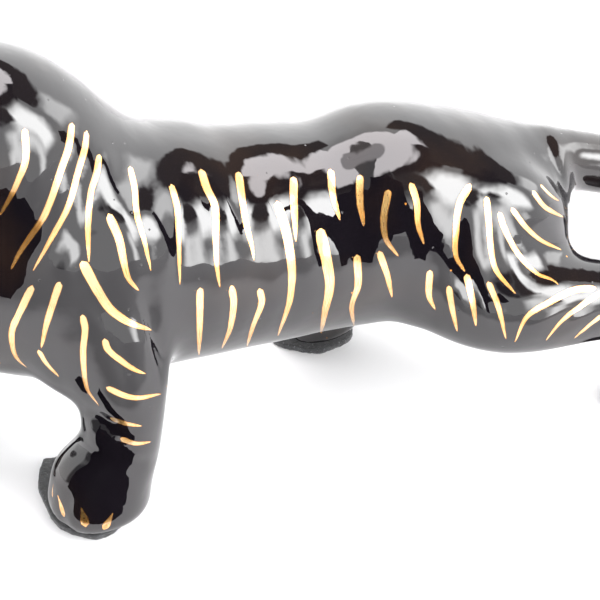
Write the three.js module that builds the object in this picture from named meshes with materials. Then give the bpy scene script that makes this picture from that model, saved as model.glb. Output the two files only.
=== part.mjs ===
// A striding tiger, slip-cast in ceramic, standing on four felt pads.
// Millimetres, +Z up. The animal walks towards -X and its left side is at -Y.
// Lengths along X are measured from the middle of the left front paw, heights from the ground.

import * as THREE from "three";

// Felt pads under the paws
const PAD_THICKNESS = 2.7;
const PAD_GAP = 0.3;
const PAD_CUTS = 40;
const PAD_RAGGED = { depth: 0.6, slowWaves: 3, fastWaves: 7, fastShare: 0.7, fastPhase: 2.3 };

// A pad is oval, but may be cut straight across towards the middle plane. It is placed from its paw.
const FRONT_PAD = { halfLength: 18, outward: 29.3, inward: 31.2, inwardCut: 25.2, back: -2.8, out: -14.3 };
const HIND_PAD = { halfLength: 19.7, outward: 17.8, inward: 17.8, inwardCut: 19, back: -3, out: 0.5 };

// The soles of the paws stand on the pads
const SOLE_HEIGHT = PAD_THICKNESS + PAD_GAP;
const SOLE_EDGE = 6;
const SOLE_SNAP = 0.05;

// The trunk, as stations along the spine: x, height of its middle, half its width, half its height
const TRUNK = [
  [-34, 94, 33, 35],
  [-14, 89.5, 43, 43.5],
  [14, 89, 47, 47.5],
  [48, 88.2, 46, 47.3],
  [67, 85.7, 44.5, 44.4],
  [86, 84.5, 43, 43.2],
  [106, 83.3, 41.5, 42],
  [124, 84.8, 42.5, 44.2],
  [140, 84.6, 43, 43.8],
  [158, 84, 41, 39.5],
  [180, 83.5, 35.5, 32.3],
  [194, 84, 27, 25],
];
const TRUNK_CAP_FRONT = 26;
const TRUNK_CAP_BACK = 16;

// Joints of the neck, throat and tail: x, y, z, radius
const NECK = [
  [2, 0, 106, 41],
  [-9, 0, 129.6, 38.6],
  [-24, 0, 145.3, 36],
  [-42, 0, 150, 31],
];
const THROAT = [
  [-26, 0, 84, 32],
  [-33, 0, 104, 31],
  [-38, 0, 124, 27],
];
const TAIL = [
  [188, 0, 92, 18],
  [203, 0, 94.5, 13.4],
  [214, 0, 92, 12.4],
  [226, 0, 88, 12.2],
  [244, 1, 80, 11.4],
  [262, 3, 69, 10.6],
  [277, 6, 56, 9.9],
  [289, 9, 43, 9.3],
  [300, 11, 32, 8.8],
  [313, 12, 24.5, 8.5],
  [327, 12, 23, 8.3],
  [339, 11, 28.5, 8.2],
  [346, 10, 37, 7.8],
];

// The middle of the skull, and the forms of the head measured from it. Y is the distance from the
// middle plane, because the head is the same on both sides.
const HEAD = [-50, 0, 149];
const SKULL = { at: [0, 0, 0], radii: [33, 30, 28.5] };
const RUFF = { at: [4, 23, -12], radii: [14, 14, 22] };
const CHEEK = { at: [-6, 15, -20], radii: [18, 13, 13] };
const FOREHEAD = { at: [-16, 0, 10], radii: [19, 20, 13] };
const NOSE_BRIDGE = { from: [-20, 0, 9], to: [-44, 0, 0], startRadius: 14, endRadius: 10.5 };
const MUZZLE = { at: [-36, 0, -9], radii: [19, 17, 13] };
const WHISKER_PAD = { at: [-43, 9, -10], radii: [12.5, 10, 9.2] };
const JAW = { from: [-40, 0, -20.5], to: [-10, 6, -22], startRadius: 8.5, endRadius: 12 };
const BROW = { from: [-34, 7.5, 10.5], to: [-22, 19, 12.5], startRadius: 3.4, endRadius: 3 };
const EYE_SOCKET = { from: [-39, 9.5, 3.5], to: [-31, 19.5, 6.5], startRadius: 3.6, endRadius: 3.2 };
const EYE = { at: [-28, 13, 4.6], radii: [6.6, 6.4, 4.9] };
const NOSE = { at: [-53, 0, -1.5], radii: [4.5, 7.5, 4.6] };
const EAR = { at: [8, 23, 24], radii: [6, 10.5, 11] };
const EAR_HOLLOW = { at: [0.5, 24, 25.5], radii: [5.3, 7.4, 7.8] };
const MOUTH = [
  { from: [-60, 0, -6], to: [-58, 0, -14.5], startRadius: 2.2, endRadius: 2.2 },
  { from: [-58, 0, -14.5], to: [-51, 8, -19], startRadius: 2.2, endRadius: 2.1 },
  { from: [-51, 8, -19], to: [-36, 15.5, -18], startRadius: 2.1, endRadius: 1.9 },
];

// Legs. Sideways places are distances from the middle plane, and side is -1 on the left
const PAW_SPREAD = 46.5;
const FRONT_PAW_SIZE = 1;
const HIND_PAW_SIZE = 0.96;
const INSTEP = { back: -0.5, height: 17.5, radii: [18.5, 16.8, 18.5] };
const SOLE = { back: -0.5, height: 7, length: 18, width: 17, thickness: 8 };
const TOE = { count: 4, pitch: 8.2, forward: 8, arch: 1.3, height: 11.5, radii: [10.5, 5.8, 10] };
const SHOULDER = { at: [14, 31, 96], radii: [26, 19, 33] };
const UPPER_ARM_RADII = [19, 15, 22];
const FORELEG_TOP = [14, 38, 76];
const FORELEG_RADII = { top: 19, elbow: 16, wrist: 15.2, ankle: 15 };
const FORELEG_ANKLE = { back: 4, height: 18 };
const HAUNCH_RADII = [34, 19, 33];
const FLANK_FROM_HIP = [-20, 0, -10];
const THIGH_RADII = { flank: 22, knee: 20.5, shin: 16.5, hock: 13.8 };
const HEEL_RADII = { hock: 13.3, ankle: 12.6, foot: 13.5 };
const HEEL_END = { back: 3, height: 17 };
const LEFT_FRONT = {
  side: -1,
  paw: 1,
  spread: PAW_SPREAD,
  arm: [1, 33, 70],
  elbow: [12, 46, 54],
  wrist: [9, 46.5, 30],
};
const RIGHT_FRONT = {
  side: 1,
  paw: -62,
  spread: PAW_SPREAD,
  arm: [-6, 33, 71],
  elbow: [-6, 44, 56],
  wrist: [-42, 46, 34],
};
const LEFT_HIND = {
  side: -1,
  paw: 237.5,
  spread: 43,
  hip: [166, 26, 77],
  knee: [168, 41, 59],
  shin: [206, 45, 54.5],
  hock: [237, 44.5, 49],
  ankle: [234.5, 43.5, 27],
};
const RIGHT_HIND = {
  side: 1,
  paw: 121.5,
  spread: 47,
  hip: [156, 26, 77],
  knee: [134, 41, 60],
  shin: [152, 43.5, 47],
  hock: [158, 45, 40],
  ankle: [135, 46.5, 24],
};

// How softly one form runs into the next
const SOFT = {
  neck: 18,
  throat: 16,
  muscle: 12,
  head: 10,
  foreleg: 9,
  lobe: 8,
  leg: 8,
  tail: 7,
  heel: 7,
  brow: 7,
  muzzle: 6,
  paw: 5,
  ear: 5,
  toe: 4,
  socket: 4,
  chin: 3.5,
  crease: 2.5,
  eye: 1.2,
};

// Fineness of the surface: the grid it is found on, and the triangles that are kept
const GRID_STEP = 2.9;
const GRID_MARGIN = 6;
const BARELY_INSIDE = -0.01;
const HEAD_REACH = 58;
const HALF_WIDTH = 70;
const TRIANGLES_KEPT = 9200;

// A shape is a function of x, y and z that gives the distance to its surface, negative inside.

function ellipsoid([cx, cy, cz], [rx, ry, rz]) {
  return (x, y, z) => {
    const u = (x - cx) / rx;
    const v = (y - cy) / ry;
    const w = (z - cz) / rz;
    const reach = Math.sqrt(u * u + v * v + w * w);
    const slope = Math.sqrt((u / rx) ** 2 + (v / ry) ** 2 + (w / rz) ** 2) + 1e-6;
    return (reach * (reach - 1)) / slope;
  };
}

function taper([ax, ay, az], [bx, by, bz], startRadius, endRadius) {
  const [dx, dy, dz] = [bx - ax, by - ay, bz - az];
  const lengthSquared = dx * dx + dy * dy + dz * dz;
  return (x, y, z) => {
    const along = ((x - ax) * dx + (y - ay) * dy + (z - az) * dz) / lengthSquared;
    const t = Math.min(Math.max(along, 0), 1);
    const [ox, oy, oz] = [x - ax - t * dx, y - ay - t * dy, z - az - t * dz];
    const away = Math.sqrt(ox * ox + oy * oy + oz * oz);
    return away - (startRadius + t * (endRadius - startRadius));
  };
}

function union(...shapes) {
  return (x, y, z) => {
    let nearest = Infinity;
    for (const shape of shapes) nearest = Math.min(nearest, shape(x, y, z));
    return nearest;
  };
}

function softMinimum(a, b, softness) {
  const overlap = Math.max(softness - Math.abs(a - b), 0) / softness;
  return Math.min(a, b) - (overlap * overlap * softness) / 4;
}

// Joins shapes one after another, with a fillet about as wide as the softness
function blend(first, ...rest) {
  return (x, y, z) => {
    let distance = first(x, y, z);
    for (const [softness, shape] of rest) distance = softMinimum(distance, shape(x, y, z), softness);
    return distance;
  };
}

function carve(solid, softness, tool) {
  return (x, y, z) => -softMinimum(-solid(x, y, z), tool(x, y, z), softness);
}

// A smooth curve through rows of numbers, whose first column is the parameter
function smoothCurve(rows) {
  const slopes = rows.map((row, i) => {
    const before = rows[Math.max(i - 1, 0)];
    const after = rows[Math.min(i + 1, rows.length - 1)];
    return row.map((_, k) => (after[k] - before[k]) / (after[0] - before[0]));
  });
  return (parameter) => {
    const u = Math.min(Math.max(parameter, rows[0][0]), rows[rows.length - 1][0]);
    let i = 0;
    while (i < rows.length - 2 && u >= rows[i + 1][0]) i += 1;
    const span = rows[i + 1][0] - rows[i][0];
    const t = (u - rows[i][0]) / span;
    const startWeight = 2 * t ** 3 - 3 * t ** 2 + 1;
    const startSlope = (t ** 3 - 2 * t ** 2 + t) * span;
    const endSlope = (t ** 3 - t ** 2) * span;
    return rows[i].map(
      (value, k) =>
        startWeight * value +
        (1 - startWeight) * rows[i + 1][k] +
        startSlope * slopes[i][k] +
        endSlope * slopes[i + 1][k],
    );
  };
}

// A round limb of changing thickness along a smooth curve through its joints
function limb(joints, stepsPerJoint = 4) {
  const curve = smoothCurve(joints.map((joint, i) => [i, ...joint]));
  const pieces = [];
  for (let step = 0; step < (joints.length - 1) * stepsPerJoint; step += 1) {
    const [, ax, ay, az, startRadius] = curve(step / stepsPerJoint);
    const [, bx, by, bz, endRadius] = curve((step + 1) / stepsPerJoint);
    pieces.push(taper([ax, ay, az], [bx, by, bz], startRadius, endRadius));
  }
  return union(...pieces);
}

// The trunk is an ellipse in section, with rounded ends
function makeTrunk() {
  const section = smoothCurve(TRUNK);
  const frontX = TRUNK[0][0];
  const backX = TRUNK[TRUNK.length - 1][0];
  return (x, y, z) => {
    const [, middle, halfWidth, halfHeight] = section(x);
    const beyond = Math.min(x - frontX, 0) + Math.max(x - backX, 0);
    const cap = beyond < 0 ? TRUNK_CAP_FRONT : TRUNK_CAP_BACK;
    const u = beyond / cap;
    const v = y / halfWidth;
    const w = (z - middle) / halfHeight;
    const reach = Math.sqrt(u * u + v * v + w * w);
    const slope = Math.sqrt((u / cap) ** 2 + (v / halfWidth) ** 2 + (w / halfHeight) ** 2) + 1e-6;
    return (reach * (reach - 1)) / slope;
  };
}

function makePaw(x, y, size) {
  const scaled = (radii) => radii.map((radius) => radius * size);
  const instep = ellipsoid([x + INSTEP.back, y, INSTEP.height * size], scaled(INSTEP.radii));
  const solePlace = [x + SOLE.back, y, SOLE.height];
  const sole = ellipsoid(solePlace, [SOLE.length * size, SOLE.width * size, SOLE.thickness]);
  const toes = [];
  for (let toe = 0; toe < TOE.count; toe += 1) {
    const place = toe - (TOE.count - 1) / 2;
    const toeX = x - TOE.forward * size + TOE.arch * place * place;
    const middle = [toeX, y + place * TOE.pitch * size, TOE.height * size];
    toes.push([SOFT.toe, ellipsoid(middle, scaled(TOE.radii))]);
  }
  return blend(instep, [SOFT.lobe, sole], ...toes);
}

function onSide(side, [x, y, z]) {
  return [x, side * y, z];
}

function makeFrontLeg({ side, paw, spread, arm, elbow, wrist }) {
  const shoulderBlade = ellipsoid(onSide(side, SHOULDER.at), SHOULDER.radii);
  const upperArm = ellipsoid(onSide(side, arm), UPPER_ARM_RADII);
  const foreleg = limb([
    [...onSide(side, FORELEG_TOP), FORELEG_RADII.top],
    [...onSide(side, elbow), FORELEG_RADII.elbow],
    [...onSide(side, wrist), FORELEG_RADII.wrist],
    [paw + FORELEG_ANKLE.back, side * spread, FORELEG_ANKLE.height, FORELEG_RADII.ankle],
  ]);
  const foot = makePaw(paw, side * spread, FRONT_PAW_SIZE);
  return blend(shoulderBlade, [SOFT.muscle, upperArm], [SOFT.foreleg, foreleg], [SOFT.paw, foot]);
}

function makeHindLeg({ side, paw, spread, hip, knee, shin, hock, ankle }) {
  const haunch = ellipsoid(onSide(side, hip), HAUNCH_RADII);
  const flank = hip.map((coordinate, i) => coordinate + FLANK_FROM_HIP[i]);
  const thigh = limb([
    [...onSide(side, flank), THIGH_RADII.flank],
    [...onSide(side, knee), THIGH_RADII.knee],
    [...onSide(side, shin), THIGH_RADII.shin],
    [...onSide(side, hock), THIGH_RADII.hock],
  ]);
  const heel = limb([
    [...onSide(side, hock), HEEL_RADII.hock],
    [...onSide(side, ankle), HEEL_RADII.ankle],
    [paw + HEEL_END.back, side * spread, HEEL_END.height, HEEL_RADII.foot],
  ]);
  const foot = makePaw(paw, side * spread, HIND_PAW_SIZE);
  return blend(haunch, [SOFT.muscle, thigh], [SOFT.heel, heel], [SOFT.paw, foot]);
}

// The head is the same on both sides, so it is modelled on the right and mirrored
function makeHead() {
  const at = ([x, y, z]) => [HEAD[0] + x, HEAD[1] + y, HEAD[2] + z];
  const round = (form) => ellipsoid(at(form.at), form.radii);
  const long = (form) => taper(at(form.from), at(form.to), form.startRadius, form.endRadius);
  const face = blend(
    round(SKULL),
    [SOFT.lobe, round(RUFF)],
    [SOFT.lobe, round(CHEEK)],
    [SOFT.lobe, round(FOREHEAD)],
    [SOFT.lobe, long(NOSE_BRIDGE)],
    [SOFT.muzzle, round(MUZZLE)],
    [SOFT.chin, round(WHISKER_PAD)],
    [SOFT.chin, long(JAW)],
    [SOFT.brow, long(BROW)],
  );
  const ear = carve(round(EAR), SOFT.crease, round(EAR_HOLLOW));
  const withEyes = blend(
    carve(face, SOFT.socket, long(EYE_SOCKET)),
    [SOFT.eye, round(EYE)],
    [SOFT.crease, round(NOSE)],
    [SOFT.ear, ear],
  );
  const whole = carve(withEyes, SOFT.crease, union(...MOUTH.map(long)));
  return (x, y, z) => whole(x, Math.abs(y), z);
}

function makeTiger() {
  const whole = blend(
    makeTrunk(),
    [SOFT.neck, limb(NECK)],
    [SOFT.throat, limb(THROAT)],
    [SOFT.head, makeHead()],
    [SOFT.leg, makeFrontLeg(LEFT_FRONT)],
    [SOFT.leg, makeFrontLeg(RIGHT_FRONT)],
    [SOFT.leg, makeHindLeg(LEFT_HIND)],
    [SOFT.leg, makeHindLeg(RIGHT_HIND)],
    [SOFT.tail, limb(TAIL, 3)],
  );
  return (x, y, z) => -softMinimum(-whole(x, y, z), z - SOLE_HEIGHT, SOLE_EDGE);
}

// Fills slits that are thinner than the grid, where two inside corners of a cell's side touch only
// across its diagonal. Otherwise the two walls of such a slit would share an edge.
function closeThinSlits(values, index, counts, axes) {
  let found = true;
  while (found) {
    found = false;
    for (let i = 0; i < counts[0] - 1; i += 1) {
      for (let j = 0; j < counts[1] - 1; j += 1) {
        for (let k = 0; k < counts[2] - 1; k += 1) {
          axes.forEach((u, n) => {
            const v = axes[(n + 1) % 3];
            const corners = [
              index(i, j, k),
              index(i + u[0], j + u[1], k + u[2]),
              index(i + u[0] + v[0], j + u[1] + v[1], k + u[2] + v[2]),
              index(i + v[0], j + v[1], k + v[2]),
            ];
            const [a, b, c, d] = corners.map((corner) => values[corner] < 0);
            if (a !== c || b !== d || a === b) return;
            const [first, second] = a ? [corners[1], corners[3]] : [corners[0], corners[2]];
            values[values[first] < values[second] ? first : second] = BARELY_INSIDE;
            found = true;
          });
        }
      }
    }
  }
}

// Finds a shape's surface on a cubic grid: one vertex in each cell that the surface crosses,
// and one face across each grid edge that it crosses.
function findSurface(shape, box, step) {
  const counts = box.getSize(new THREE.Vector3()).divideScalar(step).ceil().addScalar(1);
  const [nx, ny, nz] = counts.toArray();
  const index = (i, j, k) => (i * ny + j) * nz + k;
  const values = new Float64Array(nx * ny * nz);
  for (let i = 0; i < nx; i += 1) {
    for (let j = 0; j < ny; j += 1) {
      for (let k = 0; k < nz; k += 1) {
        values[index(i, j, k)] = shape(box.min.x + i * step, box.min.y + j * step, box.min.z + k * step);
      }
    }
  }
  const axes = [
    [1, 0, 0],
    [0, 1, 0],
    [0, 0, 1],
  ];
  closeThinSlits(values, index, [nx, ny, nz], axes);
  const corners = [];
  for (let c = 0; c < 8; c += 1) corners.push([c & 1, (c >> 1) & 1, (c >> 2) & 1]);
  const cellEdges = [];
  corners.forEach((from, a) => {
    corners.forEach((to, b) => {
      const apart = Math.abs(from[0] - to[0]) + Math.abs(from[1] - to[1]) + Math.abs(from[2] - to[2]);
      if (a < b && apart === 1) cellEdges.push([from, to]);
    });
  });
  const vertices = [];
  const vertexOfCell = new Int32Array(nx * ny * nz).fill(-1);
  for (let i = 0; i < nx - 1; i += 1) {
    for (let j = 0; j < ny - 1; j += 1) {
      for (let k = 0; k < nz - 1; k += 1) {
        const middle = new THREE.Vector3();
        let crossings = 0;
        for (const [from, to] of cellEdges) {
          const a = values[index(i + from[0], j + from[1], k + from[2])];
          const b = values[index(i + to[0], j + to[1], k + to[2])];
          if (a < 0 === b < 0) continue;
          const t = a / (a - b);
          middle.x += i + from[0] + t * (to[0] - from[0]);
          middle.y += j + from[1] + t * (to[1] - from[1]);
          middle.z += k + from[2] + t * (to[2] - from[2]);
          crossings += 1;
        }
        if (crossings === 0) continue;
        vertexOfCell[index(i, j, k)] = vertices.length;
        vertices.push(middle.multiplyScalar(step / crossings).add(box.min));
      }
    }
  }
  const triangles = [];
  for (let i = 1; i < nx - 1; i += 1) {
    for (let j = 1; j < ny - 1; j += 1) {
      for (let k = 1; k < nz - 1; k += 1) {
        axes.forEach((axis, n) => {
          const inside = values[index(i, j, k)] < 0;
          const nextInside = values[index(i + axis[0], j + axis[1], k + axis[2])] < 0;
          if (inside === nextInside) return;
          const u = axes[(n + 1) % 3];
          const v = axes[(n + 2) % 3];
          const vertexBefore = (a, b) => {
            const [di, dj, dk] = u.map((step, m) => a * step + b * v[m]);
            return vertexOfCell[index(i - di, j - dj, k - dk)];
          };
          const ring = [vertexBefore(1, 1), vertexBefore(0, 1), vertexBefore(0, 0), vertexBefore(1, 0)];
          if (!inside) ring.reverse();
          const [p, q, r, s] = ring.map((vertex) => vertices[vertex]);
          const cutAcross = p.distanceTo(r) <= q.distanceTo(s);
          if (cutAcross) triangles.push([ring[0], ring[1], ring[2]], [ring[0], ring[2], ring[3]]);
          else triangles.push([ring[0], ring[1], ring[3]], [ring[1], ring[2], ring[3]]);
        });
      }
    }
  }
  return { vertices, triangles };
}

// Moves each vertex along the shape's slope until it lies on the surface
function settleOnSurface(shape, vertices, rounds = 3) {
  const reach = 0.2;
  for (const vertex of vertices) {
    for (let round = 0; round < rounds; round += 1) {
      const { x, y, z } = vertex;
      const slope = new THREE.Vector3(
        shape(x + reach, y, z) - shape(x - reach, y, z),
        shape(x, y + reach, z) - shape(x, y - reach, z),
        shape(x, y, z + reach) - shape(x, y, z - reach),
      ).divideScalar(2 * reach);
      vertex.addScaledVector(slope, -shape(x, y, z) / Math.max(slope.lengthSq(), 0.05));
    }
    if (Math.abs(vertex.z - SOLE_HEIGHT) < SOLE_SNAP) vertex.z = SOLE_HEIGHT;
  }
}

// The squared distances of a point from the planes of the faces round a vertex, as one quadric
class PlaneSum {
  constructor() {
    this.terms = new Float64Array(10);
  }

  addPlane({ x, y, z }, offset, weight) {
    const plane = [x, y, z, offset];
    let term = 0;
    plane.forEach((a, i) => {
      for (const b of plane.slice(i)) {
        this.terms[term] += weight * a * b;
        term += 1;
      }
    });
  }

  add(other) {
    other.terms.forEach((term, i) => {
      this.terms[i] += term;
    });
  }

  at({ x, y, z }) {
    const [xx, xy, xz, xd, yy, yz, yd, zz, zd, dd] = this.terms;
    const squares = xx * x * x + yy * y * y + zz * z * z + dd;
    return squares + 2 * (xy * x * y + xz * x * z + yz * y * z + xd * x + yd * y + zd * z);
  }
}

// Drops vertices that matter least to the form, sweep by sweep, until few enough triangles are left.
// Each vertex that goes is drawn onto a neighbour, so those that stay remain on the surface.
function simplify(vertices, triangles, wanted) {
  let faces = triangles;
  const sums = vertices.map(() => new PlaneSum());
  const normalOf = ([a, b, c], target) => {
    const side = new THREE.Vector3().subVectors(vertices[b], vertices[a]);
    return target.subVectors(vertices[c], vertices[a]).cross(side).negate();
  };
  for (const face of faces) {
    const normal = normalOf(face, new THREE.Vector3());
    const area = normal.length() / 2;
    if (area === 0) continue;
    normal.normalize();
    for (const corner of face) sums[corner].addPlane(normal, -normal.dot(vertices[face[0]]), area);
  }
  while (faces.length > wanted) {
    const facesOf = vertices.map(() => []);
    faces.forEach((face) => face.forEach((corner) => facesOf[corner].push(face)));
    const neighbours = (vertex) => new Set(facesOf[vertex].flat().filter((other) => other !== vertex));
    const moves = [];
    for (const face of faces) {
      face.forEach((from, i) => {
        const to = face[(i + 1) % 3];
        const length = vertices[from].distanceTo(vertices[to]);
        const cost = sums[from].at(vertices[to]) + sums[to].at(vertices[to]) + 1e-4 * length ** 4;
        moves.push({ from, to, cost });
      });
    }
    moves.sort((a, b) => a.cost - b.cost);
    const busy = new Uint8Array(vertices.length);
    const movedTo = new Int32Array(vertices.length).map((_, i) => i);
    const mostDropped = Math.max(Math.min(moves.length / 60, (faces.length - wanted) / 2), 1);
    let dropped = 0;
    const before = new THREE.Vector3();
    const after = new THREE.Vector3();
    for (const { from, to } of moves) {
      if (dropped >= mostDropped) break;
      if (busy[from] || busy[to]) continue;
      const around = neighbours(from);
      const shared = [...neighbours(to)].filter((vertex) => around.has(vertex));
      if (shared.length !== 2) continue;
      const turnsOver = facesOf[from].some((face) => {
        if (face.includes(to)) return false;
        normalOf(face, before).normalize();
        normalOf(face.map((corner) => (corner === from ? to : corner)), after);
        return after.length() < 1e-3 || after.normalize().dot(before) < 0.3;
      });
      if (turnsOver) continue;
      movedTo[from] = to;
      sums[to].add(sums[from]);
      dropped += 1;
      busy[to] = 1;
      for (const vertex of around) busy[vertex] = 1;
      for (const vertex of neighbours(to)) busy[vertex] = 1;
    }
    if (dropped === 0) break;
    faces = faces
      .map((face) => face.map((corner) => movedTo[corner]))
      .filter(([a, b, c]) => a !== b && b !== c && c !== a);
  }
  return faces;
}

function makeSurfaceGeometry(shape, box, step, wanted) {
  const { vertices, triangles } = findSurface(shape, box, step);
  settleOnSurface(shape, vertices);
  const faces = simplify(vertices, triangles, wanted);
  const geometry = new THREE.BufferGeometry();
  const positions = vertices.flatMap((vertex) => vertex.toArray());
  geometry.setAttribute("position", new THREE.Float32BufferAttribute(positions, 3));
  geometry.setIndex(faces.flat());
  const compact = geometry.toNonIndexed();
  compact.computeVertexNormals();
  return compact;
}

// A pad cut by hand from felt, with a slightly ragged edge
function makePad(name, leg, cut, seed) {
  const points = [];
  for (let snip = 0; snip < PAD_CUTS; snip += 1) {
    const angle = (snip / PAD_CUTS) * 2 * Math.PI;
    const slow = Math.sin(PAD_RAGGED.slowWaves * angle + seed);
    const fast = Math.sin(PAD_RAGGED.fastWaves * angle + PAD_RAGGED.fastPhase * seed);
    const ragged = PAD_RAGGED.depth * (slow + PAD_RAGGED.fastShare * fast);
    const reach = Math.sin(angle) > 0 ? cut.outward : cut.inward;
    const outward = Math.max((reach + ragged) * Math.sin(angle), -cut.inwardCut);
    points.push(new THREE.Vector2((cut.halfLength + ragged) * Math.cos(angle), leg.side * outward));
  }
  const outline = new THREE.Shape(points);
  const geometry = new THREE.ExtrudeGeometry(outline, { depth: PAD_THICKNESS, bevelEnabled: false });
  const felt = new THREE.MeshStandardMaterial({ color: 0x34353a, roughness: 0.95, metalness: 0 });
  const pad = new THREE.Mesh(geometry, felt);
  pad.name = name;
  pad.position.set(leg.paw + cut.back, leg.side * (leg.spread + cut.out), 0);
  return pad;
}

function makeFigurine() {
  const glaze = new THREE.MeshStandardMaterial({ color: 0x0b0a0c, roughness: 0.08, metalness: 0 });
  const tailEnd = TAIL[TAIL.length - 1];
  const box = new THREE.Box3(
    new THREE.Vector3(HEAD[0] - HEAD_REACH, -HALF_WIDTH, SOLE_HEIGHT),
    new THREE.Vector3(tailEnd[0] + tailEnd[3], HALF_WIDTH, HEAD[2] + HEAD_REACH),
  ).expandByScalar(GRID_MARGIN);
  const tiger = new THREE.Mesh(makeSurfaceGeometry(makeTiger(), box, GRID_STEP, TRIANGLES_KEPT), glaze);
  tiger.name = "tiger";
  const figurine = new THREE.Group();
  figurine.add(
    tiger,
    makePad("felt_pad_front_left", LEFT_FRONT, FRONT_PAD, 1.1),
    makePad("felt_pad_front_right", RIGHT_FRONT, FRONT_PAD, 2.7),
    makePad("felt_pad_hind_left", LEFT_HIND, HIND_PAD, 4.2),
    makePad("felt_pad_hind_right", RIGHT_HIND, HIND_PAD, 5.9),
  );
  // The origin is on the ground, under the middle of the whole
  const middle = new THREE.Box3().setFromObject(figurine).getCenter(new THREE.Vector3());
  figurine.position.set(-middle.x, -middle.y, 0);
  return figurine;
}

export default makeFigurine();
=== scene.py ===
"""A striding ceramic tiger on four felt pads: its glaze, gold stripes, pads, floor, lights and camera.

The tiger's form is worked out again here from the part's own sizes, on a finer grid and with the
modelled furrows. Lengths are in millimetres, along X from the middle of the left front paw and
upwards from the ground, until a mesh is made: the frame is in metres, about the middle of the whole.
"""
import math
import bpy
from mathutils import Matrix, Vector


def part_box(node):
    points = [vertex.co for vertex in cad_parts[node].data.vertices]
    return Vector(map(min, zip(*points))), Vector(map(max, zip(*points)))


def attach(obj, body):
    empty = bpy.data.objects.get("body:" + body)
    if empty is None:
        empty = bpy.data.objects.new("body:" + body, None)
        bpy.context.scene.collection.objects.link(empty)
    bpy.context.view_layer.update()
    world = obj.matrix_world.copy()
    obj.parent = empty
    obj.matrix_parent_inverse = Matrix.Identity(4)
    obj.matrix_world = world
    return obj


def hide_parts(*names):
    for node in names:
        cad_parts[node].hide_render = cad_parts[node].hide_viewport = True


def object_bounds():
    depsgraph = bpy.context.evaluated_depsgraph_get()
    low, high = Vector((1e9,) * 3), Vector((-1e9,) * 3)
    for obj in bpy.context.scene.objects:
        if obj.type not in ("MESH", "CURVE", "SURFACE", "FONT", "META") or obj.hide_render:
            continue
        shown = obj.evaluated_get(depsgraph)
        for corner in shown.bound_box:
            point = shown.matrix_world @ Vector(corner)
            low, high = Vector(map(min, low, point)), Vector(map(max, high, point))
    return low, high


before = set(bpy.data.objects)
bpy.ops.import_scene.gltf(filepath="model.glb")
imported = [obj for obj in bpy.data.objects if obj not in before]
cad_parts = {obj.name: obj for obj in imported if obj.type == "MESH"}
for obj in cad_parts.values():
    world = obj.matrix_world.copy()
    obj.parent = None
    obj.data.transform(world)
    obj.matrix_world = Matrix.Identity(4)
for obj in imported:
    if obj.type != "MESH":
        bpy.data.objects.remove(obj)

from concurrent.futures import ThreadPoolExecutor

import bmesh
import bpy
import numpy as np
from mathutils import Vector

cad_low, cad_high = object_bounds()

# Sizes of the part

PAD_THICKNESS = 2.7
PAD_GAP = 0.3
PAD_CUTS = 40
PAD_SIZES = ("half_length", "outward", "inward", "inward_cut", "back", "out")
FRONT_PAD = dict(zip(PAD_SIZES, (18, 29.3, 31.2, 25.2, -2.8, -14.3)))
HIND_PAD = dict(zip(PAD_SIZES, (19.7, 17.8, 17.8, 19, -3, 0.5)))
SOLE_HEIGHT = PAD_THICKNESS + PAD_GAP
SOLE_EDGE = 6

# Stations along the spine: x, height of its middle, half the width, half the height
TRUNK = [
    (-34, 94, 33, 35),
    (-14, 89.5, 43, 43.5),
    (14, 89, 47, 47.5),
    (48, 88.2, 46, 47.3),
    (67, 85.7, 44.5, 44.4),
    (86, 84.5, 43, 43.2),
    (106, 83.3, 41.5, 42),
    (124, 84.8, 42.5, 44.2),
    (140, 84.6, 43, 43.8),
    (158, 84, 41, 39.5),
    (180, 83.5, 35.5, 32.3),
    (194, 84, 27, 25),
]
TRUNK_CAP_FRONT = 26
TRUNK_CAP_BACK = 16

# Joints of the neck, throat and tail: x, y, z, radius
NECK = [(2, 0, 106, 41), (-9, 0, 129.6, 38.6), (-24, 0, 145.3, 36), (-42, 0, 150, 31)]
THROAT = [(-26, 0, 84, 32), (-33, 0, 104, 31), (-38, 0, 124, 27)]
TAIL = [
    (188, 0, 92, 18),
    (203, 0, 94.5, 13.4),
    (214, 0, 92, 12.4),
    (226, 0, 88, 12.2),
    (244, 1, 80, 11.4),
    (262, 3, 69, 10.6),
    (277, 6, 56, 9.9),
    (289, 9, 43, 9.3),
    (300, 11, 32, 8.8),
    (313, 12, 24.5, 8.5),
    (327, 12, 23, 8.3),
    (339, 11, 28.5, 8.2),
    (346, 10, 37, 7.8),
]

# Legs. Sideways places are distances from the middle plane, and side is -1 on the left
PAW_SPREAD = 46.5
FRONT_PAW_SIZE = 1
HIND_PAW_SIZE = 0.96
SHOULDER = (14, 31, 96)
SHOULDER_RADII = (26, 19, 33)
UPPER_ARM_RADII = (19, 15, 22)
FORELEG_TOP = (14, 38, 76)
FORELEG_RADII = (19, 16, 15.2, 15)
HAUNCH_RADII = (34, 19, 33)
FLANK_FROM_HIP = (-20, 0, -10)
THIGH_RADII = (22, 20.5, 16.5, 13.8)
HEEL_RADII = (13.3, 12.6, 13.5)

# Where a leg's middle line ends in the paw: how far behind the paw's middle, and how high
FORELEG_END = (4, 18)
HEEL_END = (3, 17)

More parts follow.
